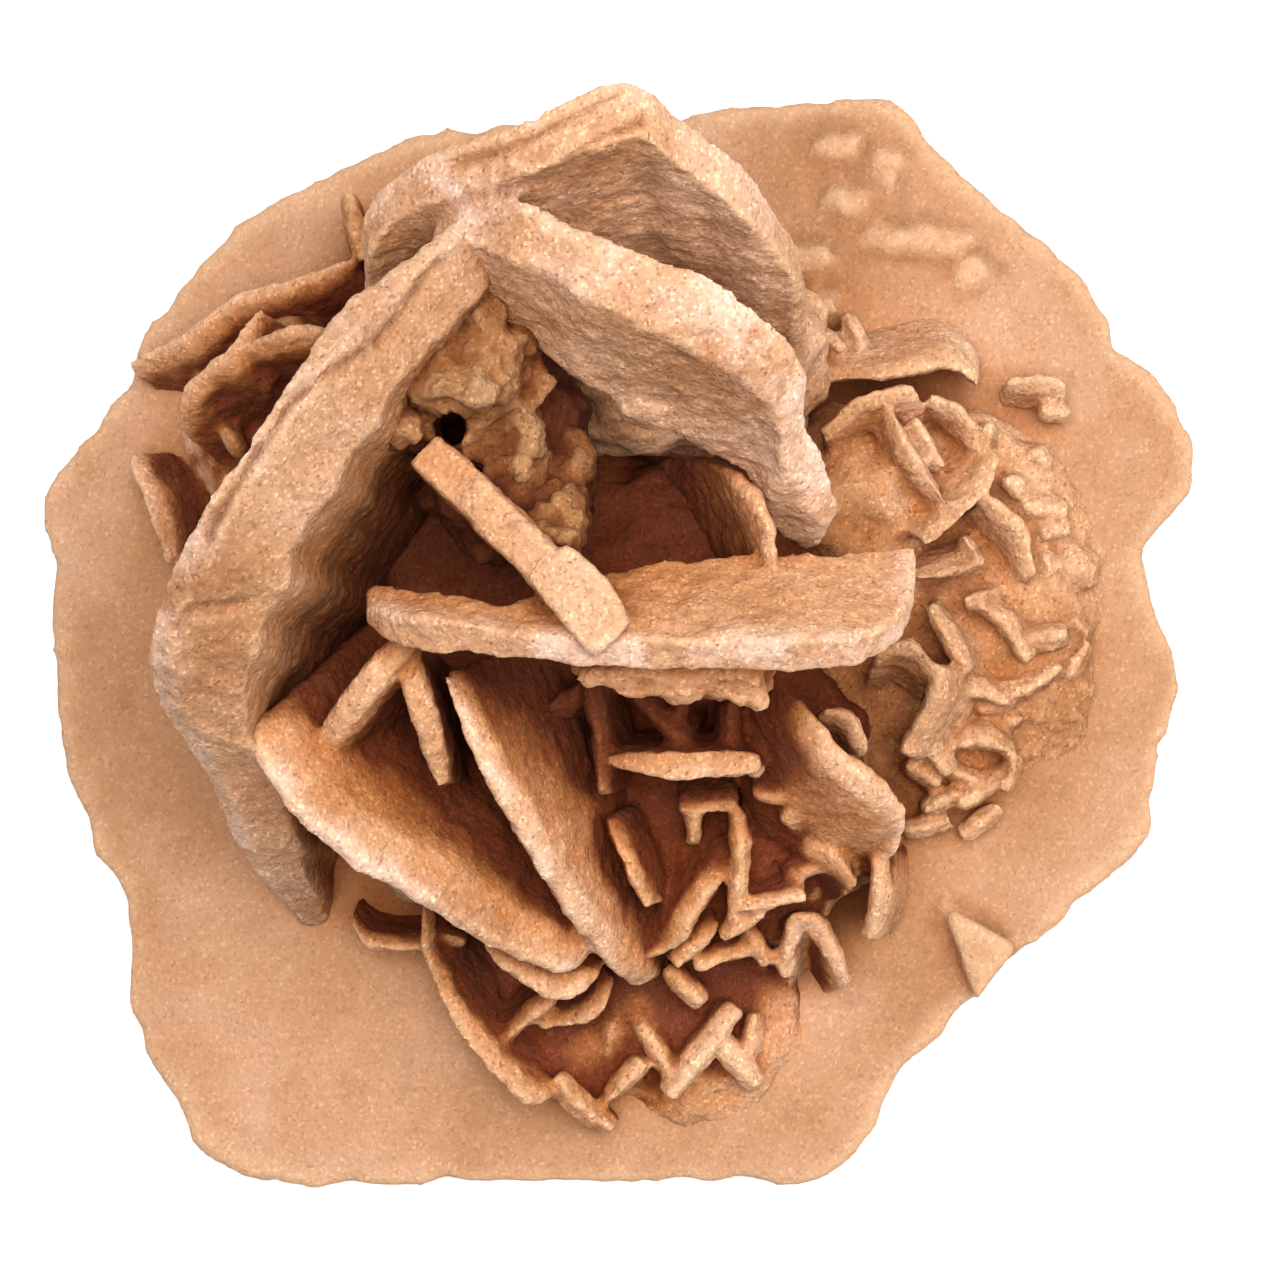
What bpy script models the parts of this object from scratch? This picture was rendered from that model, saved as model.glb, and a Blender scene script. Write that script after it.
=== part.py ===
"""Gypsum sand rose: one natural cluster of lens-shaped blades on a wide plate.

Run with blender --background --python part.py, or from Blender's text editor.
Lengths below are in millimetres and are turned into metres by MM.
The origin is under the middle of the rose, on the surface it rests on, +Z up.
"""
import math

import bmesh
import bpy
import numpy as np
from mathutils import Matrix, Vector, noise

MM = 0.001

# Driving dimensions of the base plate
PLATE_RIM_LOW = 1.5
PLATE_RIM_HIGH = 2.7
PLATE_CROWN = 1.4
PLATE_FLAT_SHARE = 0.55
PLATE_CENTRE = (0.5, 0.0)
PLATE_SIDES = 64
FOOT_LEVEL = 1.3
SAND_FLOOR = 1.7
SAND_UNEVENNESS = 0.45
FLAT_ANGLE = 1.0

# The plate's wavy outline seen from above, clockwise from the top
PLATE_OUTLINE = (
    (3.6, 29.0), (7.8, 29.3), (12.7, 29.7), (15.3, 29.3), (18.9, 25.4), (22.5, 22.6),
    (25.1, 20.4), (27.6, 16.6), (29.5, 14.3), (31.3, 11.2), (31.6, 9.0), (29.5, 6.3),
    (28.7, 5.0), (29.5, 2.2), (30.7, -2.5), (29.5, -6.7), (28.9, -10.5), (25.6, -13.6),
    (23.1, -16.2), (20.9, -17.6), (17.1, -22.0), (15.1, -23.8), (13.8, -27.1),
    (11.6, -29.3), (6.7, -29.7), (1.1, -29.6), (-5.3, -29.5), (-13.7, -29.7),
    (-18.5, -29.5), (-22.6, -27.8), (-24.4, -24.7), (-26.8, -20.9), (-27.2, -14.2),
    (-29.2, -10.2), (-30.8, -4.3), (-31.1, 0.2), (-31.1, 4.0), (-31.5, 8.1),
    (-29.2, 11.5), (-27.0, 14.3), (-25.9, 17.5), (-23.0, 20.6), (-20.3, 23.3),
    (-16.4, 25.4), (-11.5, 27.6), (-5.9, 28.6), (-1.0, 28.6),
)

# Large blades. rim: points along the free edge. fall: the way the blade runs down
# from its rim. depth: how far it runs. thick, bevel: its body and its sloping edge.
# edge: the flat share of the rim. ends, end_reach: the shares of thickness and depth left at
# the rim's two ends, fade: how fast they shrink. one_sided: the slab hangs inward of its rim.
LARGE_BLADES = {
    "left wing": dict(
        rim=((-6.8, 21.7, 27.5), (-9.4, 19.2, 29.0), (-13.6, 15.7, 30.0),
             (-17.8, 9.6, 30.0), (-20.7, 5.4, 29.0), (-22.8, 0.9, 27.0),
             (-22.8, -2.3, 24.0), (-21.2, -6.4, 18.0), (-19.6, -11.4, 11.0),
             (-17.4, -15.1, 4.0)),
        fall=(0.17, -0.06, -0.98), depth=31.0, thick=4.6, bevel=2.8, ends=0.15,
        one_sided=1),
    "right wing": dict(
        rim=((-8.4, 21.5, 27.5), (-6.2, 22.1, 28.5), (-1.5, 20.1, 29.5),
             (1.6, 18.7, 29.5), (4.7, 17.6, 29.0), (7.6, 15.6, 27.5),
             (9.1, 13.7, 26.0), (9.5, 10.9, 23.5), (11.3, 7.4, 19.5)),
        fall=(-0.15, -0.45, -0.88), depth=9.5, thick=2.7, bevel=1.6, one_sided=1),
    "back wing": dict(
        rim=((-12.7, 18.5, 21.0), (-12.4, 21.4, 25.0), (-9.5, 23.8, 28.0),
             (-4.6, 25.2, 29.5), (-0.6, 27.0, 30.0), (1.3, 27.1, 29.5),
             (3.1, 25.7, 28.0), (6.3, 23.5, 25.0), (8.0, 21.6, 22.0),
             (9.3, 19.7, 18.0), (9.7, 16.7, 12.0)),
        fall=(0.05, -0.42, -0.90), depth=33.0, thick=2.6, bevel=1.0, one_sided=1),
    "shelf": dict(
        rim=((-6.5, 0.1, 25.5), (-3.0, -0.3, 25.9), (0.5, -0.6, 26.0),
             (5.8, -0.6, 26.0), (11.1, -0.5, 25.4), (13.6, 0.4, 24.2),
             (14.7, 1.8, 22.5), (15.1, 3.4, 20.5)),
        fall=(0.02, 0.62, -0.78), depth=7.0, thick=2.1, bevel=0.3, edge=0.85,
        ends=0.6, end_reach=0.15, fade=0.8),
    "shelf tip": dict(
        rim=((-12.5, 1.4, 22.5), (-11.0, 0.7, 24.2), (-7.6, 0.2, 25.4),
             (-3.0, -0.4, 25.8)),
        fall=(0.02, 0.55, -0.83), depth=2.6, thick=2.0, bevel=0.3, edge=0.85,
        ends=0.5, end_reach=0.5),
    "strut": dict(
        rim=((-9.6, 9.7, 24.0), (-4.7, 5.0, 26.0), (-0.3, 0.4, 27.0)),
        fall=(0.0, 0.0, -1.0), depth=13.0, thick=2.2, bevel=0.4, edge=0.8,
        ends=0.85, end_reach=0.8),
    "strut end": dict(
        rim=((-3.4, 4.1, 26.6), (-1.6, 2.1, 27.1), (-0.2, 0.3, 27.3)),
        fall=(0.0, 0.0, -1.0), depth=2.5, thick=2.9, bevel=0.2, edge=0.9,
        ends=0.8, end_reach=0.8),
    "fin": dict(
        rim=((3.4, 9.6, 14.5), (4.9, 9.3, 18.5), (6.3, 8.3, 21.2), (7.5, 6.3, 22.5),
             (7.9, 4.2, 22.5), (7.6, 2.2, 21.5)),
        fall=(-0.32, 0.0, -0.95), depth=9.0, thick=1.0, bevel=0.5),
    "lower left wing": dict(
        rim=((-18.2, -3.9, 20.0), (-18.2, -5.0, 20.5), (-17.4, -6.7, 20.5),
             (-16.0, -8.8, 20.0), (-13.4, -11.1, 19.0), (-10.0, -13.1, 17.5),
             (-6.4, -15.5, 15.5), (-3.2, -16.9, 13.5), (-2.3, -17.0, 12.0)),
        fall=(0.42, 0.42, -0.80), depth=22.0, thick=2.8, bevel=2.2),
    "lower left spur": dict(
        rim=((-7.2, -15.8, 12.0), (-5.8, -17.0, 12.5), (-3.7, -18.4, 12.0),
             (-2.3, -18.4, 11.5), (-1.1, -17.4, 10.5)),
        fall=(0.30, 0.50, -0.81), depth=14.0, thick=1.6, bevel=1.0),
    "long blade": dict(
        rim=((-8.7, -1.6, 20.5), (-7.5, -4.6, 20.5), (-6.3, -7.1, 20.0),
             (-4.8, -9.8, 18.5), (-3.3, -12.7, 16.5), (-1.7, -15.0, 14.0),
             (0.1, -17.4, 10.5), (1.0, -18.2, 8.0)),
        fall=(0.40, 0.22, -0.89), depth=22.0, thick=1.7, bevel=0.9),
    "short blade": dict(
        rim=((-10.4, 0.6, 22.0), (-12.9, -2.3, 21.0), (-15.0, -5.2, 18.5)),
        fall=(0.15, -0.15, -0.98), depth=14.0, thick=1.5, bevel=0.4, edge=0.6,
        ends=0.8),
    "middle blade": dict(
        rim=((-10.7, -0.4, 21.0), (-9.7, -3.8, 20.5), (-8.9, -7.2, 18.0)),
        fall=(0.10, 0.0, -0.99), depth=14.0, thick=1.3, bevel=0.4, edge=0.6,
        ends=0.8),
    "right blade": dict(
        rim=((7.5, -2.3, 16.0), (9.3, -2.9, 17.5), (11.3, -5.4, 17.5),
             (13.4, -7.2, 16.5), (14.9, -8.9, 14.5), (14.6, -10.9, 12.0)),
        fall=(-0.36, -0.42, -0.83), depth=11.0, thick=1.7, bevel=0.9, end_reach=0.2,
        fade=1.0),
    "low ledge": dict(
        rim=((-0.6, -6.0, 16.5), (3.2, -6.2, 17.5), (7.3, -6.1, 16.5)),
        fall=(0.0, 0.10, -0.99), depth=11.0, thick=1.6, bevel=0.2, edge=0.85),
    "lower slant": dict(
        rim=((6.3, -11.0, 12.0), (5.3, -12.4, 12.0), (3.9, -14.5, 11.5),
             (2.9, -15.9, 10.5), (1.1, -16.8, 9.0)),
        fall=(-0.35, 0.35, -0.87), depth=11.0, thick=1.5, bevel=0.8),
    "curved wing": dict(
        rim=((-10.7, -14.7, 7.0), (-10.1, -17.0, 8.0), (-8.6, -20.2, 8.5),
             (-7.3, -22.1, 8.5), (-5.5, -23.9, 8.0), (-4.3, -24.6, 7.0),
             (-3.3, -24.3, 5.0)),
        fall=(0.40, 0.20, -0.89), depth=8.0, thick=1.3, bevel=0.8),
    "outer left ledge": dict(
        rim=((-26.5, 15.1, 5.0), (-23.3, 16.4, 7.0), (-20.4, 18.2, 8.5),
             (-17.6, 18.9, 9.5), (-14.2, 20.2, 10.0)),
        fall=(0.40, -0.40, -0.82), depth=9.0, thick=1.6, bevel=0.9),
    "inner left ledge": dict(
        rim=((-23.3, 11.2, 9.0), (-22.9, 12.9, 11.0), (-21.7, 14.2, 12.0),
             (-20.1, 15.3, 13.0), (-18.7, 17.5, 12.0)),
        fall=(0.45, -0.35, -0.82), depth=12.0, thick=1.4, bevel=0.8),
    "upper left ledge": dict(
        rim=((-19.6, 15.4, 13.0), (-17.4, 16.1, 14.5), (-15.2, 16.2, 15.0)),
        fall=(0.40, -0.30, -0.87), depth=14.0, thick=1.4, bevel=0.8),
    "outer left blade": dict(
        rim=((-26.2, 10.1, 6.0), (-25.1, 7.2, 7.0), (-24.1, 4.2, 6.0)),
        fall=(0.50, 0.10, -0.86), depth=6.0, thick=1.3, bevel=0.8),
}

# Small blades. Each row: the slope by which it leans left, its thickness, its rim
SMALL_BLADES = {
    "right fan": (
        (0.5, 1.1, ((10.5, 14.0, 7.5), (13.3, 14.1, 8), (15.5, 14.5, 8), (17.9, 14.8, 7.5),
                    (19.3, 13.8, 7))),
        (-0.5, 1.2, ((10.7, 11.3, 9), (12.2, 12.7, 9.5), (13.7, 13.3, 9.5), (15.6, 13.7, 9))),
        (-0.35, 1.1, ((14.5, 12.3, 9.5), (15.4, 10.4, 9.5), (16.4, 9.0, 9), (17.5, 7.5, 8.5))),
        (-0.3, 0.9, ((15.8, 12.0, 9), (16.7, 10.5, 8.5), (17.4, 9.4, 8))),
        (-0.3, 1.0, ((16.7, 13.2, 8), (18.2, 12.5, 8), (19.1, 11.4, 7.5), (19.3, 10.3, 7))),
        (-0.8, 1.0, ((20.4, 10.1, 7), (19.8, 8.4, 8), (18.6, 7.0, 8.5), (16.4, 5.1, 9))),
        (-0.5, 1.3, ((19.7, 7.8, 8), (20.9, 6.9, 8), (21.8, 5.6, 7.5), (22.4, 3.7, 7))),
        (-0.4, 1.0, ((20.8, 14.2, 5.5), (23.0, 14.3, 6), (24.1, 13.9, 5.5))),
        (0.0, 0.9, ((22.8, 12.6, 5.5), (24.2, 12.4, 5))),
        (0.3, 1.2, ((15.6, 3.4, 9.5), (18.0, 3.8, 9), (19.6, 4.2, 8))),
        (0.0, 1.0, ((18.3, 5.8, 8.5), (19.3, 4.3, 8.5))),
        (0.2, 1.1, ((20.8, 8.9, 6.5), (21.6, 7.9, 6))),
        (0.2, 1.1, ((22.7, 5.8, 6), (24.2, 6.1, 5.5))),
        (0.0, 1.2, ((21.8, 7.4, 6), (24.1, 7.1, 5.5))),
        (0.0, 1.1, ((22.8, 5.0, 6), (23.5, 3.1, 5.5))),
        (0.0, 1.2, ((22.4, 10.5, 5.5), (23.2, 9.5, 5))),
        (0.0, 1.0, ((19.9, 11.8, 6.5), (19.6, 10.3, 7))),
        (0.0, 1.1, ((25.3, 4.2, 4.6), (25.6, 3.1, 4.6))),
        (-0.3, 1.3, ((13.6, -0.5, 11), (15.3, 0.1, 11.5), (16.7, -1.2, 11))),
        (0.4, 1.3, ((16.8, -1.0, 11), (16.5, -2.7, 10.5), (15.0, -5.8, 9))),
        (0.2, 1.2, ((16.4, 2.1, 9), (17.7, -0.2, 9), (18.6, -1.5, 8))),
        (0.2, 1.2, ((19.0, 2.1, 8), (20.5, 1.1, 8), (21.9, -0.9, 7))),
        (0.0, 1.4, ((21.5, 0.1, 7), (24.1, 0.6, 6.5))),
        (0.0, 1.2, ((25.3, 0.1, 5.5), (24.1, -1.9, 5.5))),
        (0.0, 1.1, ((23.7, -2.6, 5), (22.5, -4.1, 5))),
        (0.0, 1.1, ((24.4, 1.4, 5.5), (25.4, 0.4, 5.3))),
        (0.4, 1.2, ((16.9, -2.5, 8), (18.9, -2.6, 7.5), (20.9, -3.2, 6.5))),
        (0.0, 1.1, ((19.4, -3.6, 6), (21.3, -2.9, 6))),
        (0.3, 1.1, ((19.7, -2.7, 6.5), (21.9, -2.5, 6.5), (23.8, -1.3, 6))),
        (0.0, 1.1, ((20.3, -4.5, 5.3), (21.8, -3.9, 5.3))),
        (0.3, 1.2, ((17.6, -5.4, 6.5), (19.7, -5.3, 7), (21.2, -6.1, 6.5))),
        (0.0, 1.1, ((21.3, -6.0, 6.5), (20.8, -7.9, 6))),
        (0.3, 1.2, ((18.3, -8.7, 6), (20.9, -7.3, 6))),
        (0.0, 1.1, ((18.5, -10.4, 5.2), (20.6, -8.9, 5))),
        (0.3, 1.2, ((15.8, -4.8, 8), (16.7, -5.9, 7.5), (17.6, -7.0, 6.5))),
        (0.0, 1.1, ((16.4, -9.0, 6), (18.3, -8.0, 6))),
        (0.0, 1.1, ((15.4, -10.1, 5.5), (17.9, -9.6, 5.2))),
        (-0.4, 1.1, ((10.7, -3.5, 13), (12.2, -3.8, 13), (13.0, -5.6, 12))),
        (0.0, 1.0, ((15.4, -6.4, 7), (17.2, -7.6, 6))),
        (0.0, 1.0, ((17.9, -6.9, 6), (19.2, -7.3, 6))),
        (0.0, 1.0, ((12.2, 17.8, 6), (13.1, 16.0, 6))),
        (0.0, 1.0, ((10.9, 16.8, 6.5), (12.0, 15.6, 7))),
        (0.3, 1.0, ((20.4, 3.0, 7.5), (18.3, 2.4, 8.5))),
    ),
    "under the shelf": (
        (0.2, 1.0, ((-1.7, -1.5, 16), (-1.1, -4.7, 16.5), (-0.9, -7.8, 15))),
        (0.2, 1.0, ((0.7, -2.7, 15), (2.3, -4.2, 16), (3.5, -5.1, 16))),
        (0.0, 0.9, ((3.4, -2.9, 16), (2.7, -4.5, 15.5))),
        (0.0, 1.1, ((5.7, -2.9, 16), (5.9, -5.9, 15))),
        (0.3, 1.2, ((7.2, -7.9, 14), (9.5, -7.9, 14), (10.6, -7.1, 14.5))),
        (0.0, 0.9, ((6.2, -5.8, 16.5), (7.4, -6.6, 15.5))),
        (0.5, 0.9, ((3.3, -8.8, 13.5), (6.2, -8.5, 13.5))),
        (0.0, 0.9, ((4.0, -8.7, 13.5), (3.9, -10.5, 12.5))),
        (0.0, 1.0, ((6.2, -8.7, 13.5), (6.4, -11.5, 13), (6.0, -15.4, 11))),
        (0.3, 1.0, ((-0.6, -9.1, 14), (0.5, -11.7, 14), (1.5, -13.8, 12.5))),
        (0.4, 1.0, ((6.5, -14.0, 12), (9.9, -13.4, 12))),
        (0.3, 1.1, ((5.5, -15.5, 11), (7.8, -14.2, 11.5))),
        (-0.3, 1.1, ((9.7, -10.3, 12), (11.5, -11.2, 12), (12.6, -12.6, 11))),
        (0.2, 1.1, ((13.5, -10.8, 12), (13.6, -13.4, 11.5), (13.2, -15.6, 10))),
        (0.2, 1.0, ((-1.8, -2.4, 15), (-3.8, -3.5, 14))),
        (0.3, 1.1, ((9.5, -7.9, 14), (8.6, -9.3, 13))),
        (0.2, 1.0, ((8.7, -12.2, 11), (10.7, -11.8, 11))),
    ),
    "lower fan": (
        (-0.2, 1.3, ((9.2, -14.4, 9.5), (10.7, -14.8, 9.5), (12.4, -18.2, 8))),
        (0.2, 1.1, ((9.2, -14.5, 9.5), (8.6, -17.8, 8))),
        (0.0, 1.1, ((6.7, -15.0, 9.5), (8.1, -17.2, 8.5))),
        (0.4, 1.1, ((3.1, -17.0, 9.5), (5.4, -14.7, 10.5))),
        (0.0, 1.2, ((2.6, -17.3, 8), (4.5, -19.2, 7.5))),
        (0.5, 1.1, ((4.2, -17.2, 9), (7.1, -16.4, 9))),
        (0.3, 1.1, ((-14.4, -14.9, 6.5), (-13.4, -16.1, 7), (-10.7, -16.2, 7.5))),
        (0.3, 1.1, ((-10.4, -13.7, 9), (-10.3, -16.3, 8.5))),
        (0.0, 1.0, ((-9.8, -15.2, 8), (-8.1, -15.9, 7.5))),
        (0.3, 1.3, ((-6.3, -21.5, 7), (-3.3, -18.8, 8))),
        (0.6, 1.2, ((-4.2, -20.7, 6.5), (-1.3, -19.9, 7.5), (-0.3, -17.8, 8))),
        (0.0, 1.6, ((-3.4, -23.3, 6.5), (-2.0, -24.9, 6.2), (-0.3, -26.2, 5.5))),
        (0.2, 1.2, ((-0.6, -24.7, 5.5), (1.4, -22.6, 6))),
        (0.0, 1.1, ((1.1, -20.4, 6), (2.4, -22.4, 6), (2.8, -24.0, 5.5))),
        (0.3, 1.4, ((2.8, -24.4, 6), (6.5, -19.6, 7))),
        (0.0, 1.5, ((5.4, -21.2, 6.5), (7.5, -23.9, 5.5))),
        (0.0, 1.1, ((7.3, -19.9, 6), (7.0, -22.1, 5.5))),
        (0.0, 1.0, ((-0.3, -20.2, 5.5), (-0.6, -22.1, 5))),
    ),
    "upper left fan": (
        (0.3, 1.1, ((-19.1, 15.3, 11), (-17.4, 15.6, 12), (-15.7, 15.2, 12.5))),
        (0.0, 1.1, ((-18.7, 13.1, 11), (-18.2, 14.6, 12), (-16.6, 15.8, 13))),
        (0.0, 1.1, ((-21.5, 12.3, 9), (-20.4, 10.8, 9.5), (-19.9, 10.0, 9))),
        (0.0, 1.0, ((-16.6, 13.7, 12), (-15.5, 14.2, 12))),
        (0.0, 1.1, ((-14.4, 23.9, 9), (-13.9, 21.8, 10), (-13.4, 20.2, 11))),
    ),
}
SMALL_BLADE_DEPTH = 11.0
SMALL_BLADE_EDGE = 0.6
SMALL_BLADE_ENDS = 0.6

# Sand that fills the heart of the rose: centre and half sizes of each lump
SAND_LUMPS = (
    ((-5.6, 9.3, 12.4), (4.2, 4.8, 12.0)), ((-7.6, 15.2, 13.0), (5.0, 5.6, 12.8)),
    ((1.0, 16.0, 8.0), (9.5, 6.5, 8.5)), ((-2.0, 1.0, 5.0), (12.0, 11.0, 5.5)),
    ((-9.0, -5.0, 4.0), (8.0, 8.0, 6.0)), ((4.0, -8.0, 4.0), (11.0, 8.5, 5.8)),
    ((16.0, 2.0, 2.0), (10.5, 12.5, 4.0)), ((1.0, -19.0, 2.0), (10.0, 7.0, 3.2)),
    ((-17.2, 12.2, 3.0), (6.3, 6.8, 5.2)), ((4.4, 0.2, 21.4), (5.8, 3.0, 3.0)),
    ((-6.4, 15.8, 25.0), (1.0, 1.9, 1.1)), ((-10.3, 14.0, 25.4), (1.2, 1.0, 1.1)),
    ((-3.2, 5.6, 21.0), (1.8, 2.2, 3.6)), ((2.2, 12.2, 21.6), (2.4, 1.4, 1.8)),
    ((5.8, 11.0, 20.6), (2.8, 1.3, 2.2)), ((24.4, 4.1, 4.0), (1.6, 1.3, 1.4)),
    ((-10.9, 11.2, 23.6), (1.9, 1.5, 1.3)), ((8.6, 8.8, 20.6), (1.1, 1.0, 1.3)),
    ((-8.9, 13.0, 25.0), (0.8, 0.9, 0.9)), ((-7.5, 12.0, 3.0), (5.0, 5.0, 3.5)),
    ((13.0, 7.5, 3.5), (5.0, 5.5, 5.0)), ((-10.8, 12.3, 12.0), (4.0, 4.2, 11.7)),
)

# The round hole beside the strut, left open from above
HOLE_PLACE = (-8.2, 10.7)
HOLE_RADIUS = 0.95
HOLE_FLOOR = 15.0
HOLE_TOP = 32.0

# The loose flake on the plate's lower right
FLAKE = ((17.6, -14.2), (21.6, -16.4), (19.4, -19.2))
FLAKE_LEVELS = (2.0, 4.3)


def new_collection(name):
    """Make a collection in the scene."""
    collection = bpy.data.collections.new(name)
    bpy.context.scene.collection.children.link(collection)
    return collection


def add_object(name, mesh, collection):
    """Put a mesh in the scene as a named object."""
    thing = bpy.data.objects.new(name, mesh)
    collection.objects.link(thing)
    return thing


def mesh_from_bmesh(name, bm):
    """Close a bmesh into a mesh with its normals outward, in metres."""
    bmesh.ops.triangulate(bm, faces=bm.faces)
    bmesh.ops.recalc_face_normals(bm, faces=bm.faces)
    bmesh.ops.transform(bm, matrix=Matrix.Scale(MM, 4), verts=bm.verts)
    mesh = bpy.data.meshes.new(name)
    bm.to_mesh(mesh)
    bm.free()
    return mesh


def smooth_curve(points, count, closed=False):
    """Return count points on the curve that passes evenly through the given points."""
    points = np.array(points, dtype=float)
    if closed:
        padded = np.vstack((points[-1:], points, points[:2]))
    else:
        first = 2 * points[:1] - points[1:2]
        last = 2 * points[-1:] - points[-2:-1]
        padded = np.vstack((first, points, last))
    spans = len(padded) - 3
    place = np.linspace(0, spans, count, endpoint=not closed)
    span = np.minimum(place.astype(int), spans - 1)
    t = (place - span)[:, None]
    a, b, c, d = (padded[span + i] for i in range(4))
    curve = 2 * b + (c - a) * t + (2 * a - 5 * b + 4 * c - d) * t ** 2
    return 0.5 * (curve + (3 * b - a - 3 * c + d) * t ** 3)


def loft(bm, rings, closed_ends=True):
    """Join rings of points, each with the same count, into a skin."""
    rows = [[bm.verts.new(point) for point in ring] for ring in rings]
    count = len(rows[0])
    for low, high in zip(rows, rows[1:]):
        for i in range(count):
            j = (i + 1) % count
            bm.faces.new((low[i], low[j], high[j], high[i]))
    if closed_ends:
        bm.faces.new(rows[0])
        bm.faces.new(rows[-1])


def base_plate():
    """The wide plate: its outline carried inward in rings, flat under the middle."""
    outline = smooth_curve(PLATE_OUTLINE, PLATE_SIDES, closed=True)
    centre = np.array(PLATE_CENTRE)
    shares_below = (PLATE_FLAT_SHARE, 0.82)
    shares_above = (0.97, 0.8, 0.45)
    levels = []
    for share in shares_below:
        rise = (share ** 2 - PLATE_FLAT_SHARE ** 2) / (1 - PLATE_FLAT_SHARE ** 2)
        levels.append((share, PLATE_RIM_LOW * rise))
    levels.append((1.0, PLATE_RIM_LOW))
    levels.append((1.0, PLATE_RIM_HIGH - 0.2))
    for share in shares_above:
        levels.append((share, PLATE_RIM_HIGH + PLATE_CROWN * (1 - share ** 2)))
    rings = []
    for share, level in levels:
        flat = centre + share * (outline - centre)
        rings.append(np.column_stack((flat, np.full(len(flat), level))))
    bm = bmesh.new()
    loft(bm, rings)
    return mesh_from_bmesh("base plate", bm)


def large_blade(name, rim, fall, depth, thick, bevel, edge=0.3, ends=0.3, end_reach=0.35,
                fade=0.5, one_sided=0):
    """A bevelled profile carried along the rim and run down to the foot level."""
    count = len(rim) + 2
    points = smooth_curve(rim, count)
    fall = np.array(fall) / np.linalg.norm(fall)
    across = np.cross(points[-1] - points[0], fall)
    across /= np.linalg.norm(across) * (-1 if across[2] < 0 else 1)
    place = np.linspace(0, 1, count)
    swell = np.sin(math.pi * place) ** fade
    taper = ends + (1 - ends) * swell
    reach = depth * (end_reach + (1 - end_reach) * swell)
    to_foot = (points[:, 2] - FOOT_LEVEL) / -fall[2]
    reach = np.maximum(np.minimum(reach, to_foot), 0.8)
    slope = np.minimum(bevel, 0.6 * reach)
    half = 0.5 * thick * taper
    flat = edge * half
    shift = one_sided * half
    inner = shift + flat - one_sided * (half - flat)
    rings = []
    for i in range(count):
        section = ((inner[i], 0.0), (half[i] + shift[i], slope[i]),
                   (half[i] + shift[i], reach[i]), (shift[i] - half[i], reach[i]),
                   (shift[i] - half[i], slope[i]), (inner[i] - 2 * flat[i], 0.0))
        rings.append([points[i] + side * across + down * fall for side, down in section])
    bm = bmesh.new()
    loft(bm, rings)
    return mesh_from_bmesh(name, bm)


def small_blade(name, lean, thick, rim):
    """A thin wedge that leans to the left of its rim's direction by this slope."""
    points = np.array(rim, dtype=float)
    if len(points) == 2:
        points = np.array((points[0], points.mean(axis=0), points[1]))
    along = points[-1] - points[0]
    along /= math.hypot(along[0], along[1])
    left = np.array((-along[1], along[0], 0.0))
    rings = []
    for i, point in enumerate(points):
        half = 0.5 * thick * (SMALL_BLADE_ENDS if i in (0, len(points) - 1) else 1.0)
        reach = min(point[2] - FOOT_LEVEL, SMALL_BLADE_DEPTH)
        foot = point + (lean * left - (0, 0, 1)) * reach
        edge = SMALL_BLADE_EDGE * half
        rings.append((point + edge * left, foot + half * left, foot - half * left,
                      point - edge * left))
    bm = bmesh.new()
    loft(bm, rings)
    return mesh_from_bmesh(name, bm)


def rest_on_floor(bm):
    """Press what reaches below the plate's skin into a shallow uneven foot."""
    for vert in bm.verts:
        depth = SAND_FLOOR - vert.co.z
        if depth > 0:
            vert.co.z = SAND_FLOOR - 0.4 * depth / (depth + 2.0)


def sand_lump(name, centre, half_sizes):
    """A rounded lump of sand with a gently uneven skin."""
    bm = bmesh.new()
    fineness = 1 if max(half_sizes) < 3.2 else 2
    bmesh.ops.create_icosphere(bm, subdivisions=fineness, radius=1.0)
    for vert in bm.verts:
        vert.co *= 1.0 + SAND_UNEVENNESS * noise.noise(vert.co * 1.7 + Vector(centre))
    bmesh.ops.transform(bm, matrix=Matrix.Diagonal((*half_sizes, 1.0)), verts=bm.verts)
    bmesh.ops.translate(bm, vec=Vector(centre), verts=bm.verts)
    rest_on_floor(bm)
    return mesh_from_bmesh(name, bm)


def flake():
    """A thin three-cornered chip lying on the plate."""
    bm = bmesh.new()
    low, high = FLAKE_LEVELS
    loft(bm, [[(x, y, level) for x, y in FLAKE] for level in (low, high)])
    return mesh_from_bmesh("flake", bm)


def hole_cutter():
    """The round bore that stays open from above."""
    bm = bmesh.new()
    depth = HOLE_TOP - HOLE_FLOOR
    bmesh.ops.create_cone(bm, cap_ends=True, segments=14, radius1=HOLE_RADIUS,
                          radius2=HOLE_RADIUS, depth=depth)
    bmesh.ops.translate(bm, vec=(*HOLE_PLACE, HOLE_FLOOR + depth / 2), verts=bm.verts)
    return mesh_from_bmesh("hole cutter", bm)


def sand_material():
    """Warm pinkish tan sandstone, rough all over."""
    material = bpy.data.materials.new("sandy gypsum")
    material.use_nodes = True
    shader = material.node_tree.nodes["Principled BSDF"]
    shader.inputs["Base Color"].default_value = (0.56, 0.33, 0.19, 1.0)
    shader.inputs["Roughness"].default_value = 0.9
    shader.inputs["Metallic"].default_value = 0.0
    return material


def grown_parts():
    """Every mesh that is grown into the rose: sand first, then large and small blades."""
    meshes = []
    for number, (centre, half_sizes) in enumerate(SAND_LUMPS):
        meshes.append(sand_lump(f"sand lump {number + 1}", centre, half_sizes))
    meshes += [large_blade(name, **shape) for name, shape in LARGE_BLADES.items()]
    for group, rows in SMALL_BLADES.items():
        for number, row in enumerate(rows):
            meshes.append(small_blade(f"{group} {number + 1}", *row))
    meshes.append(flake())
    return meshes


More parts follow.
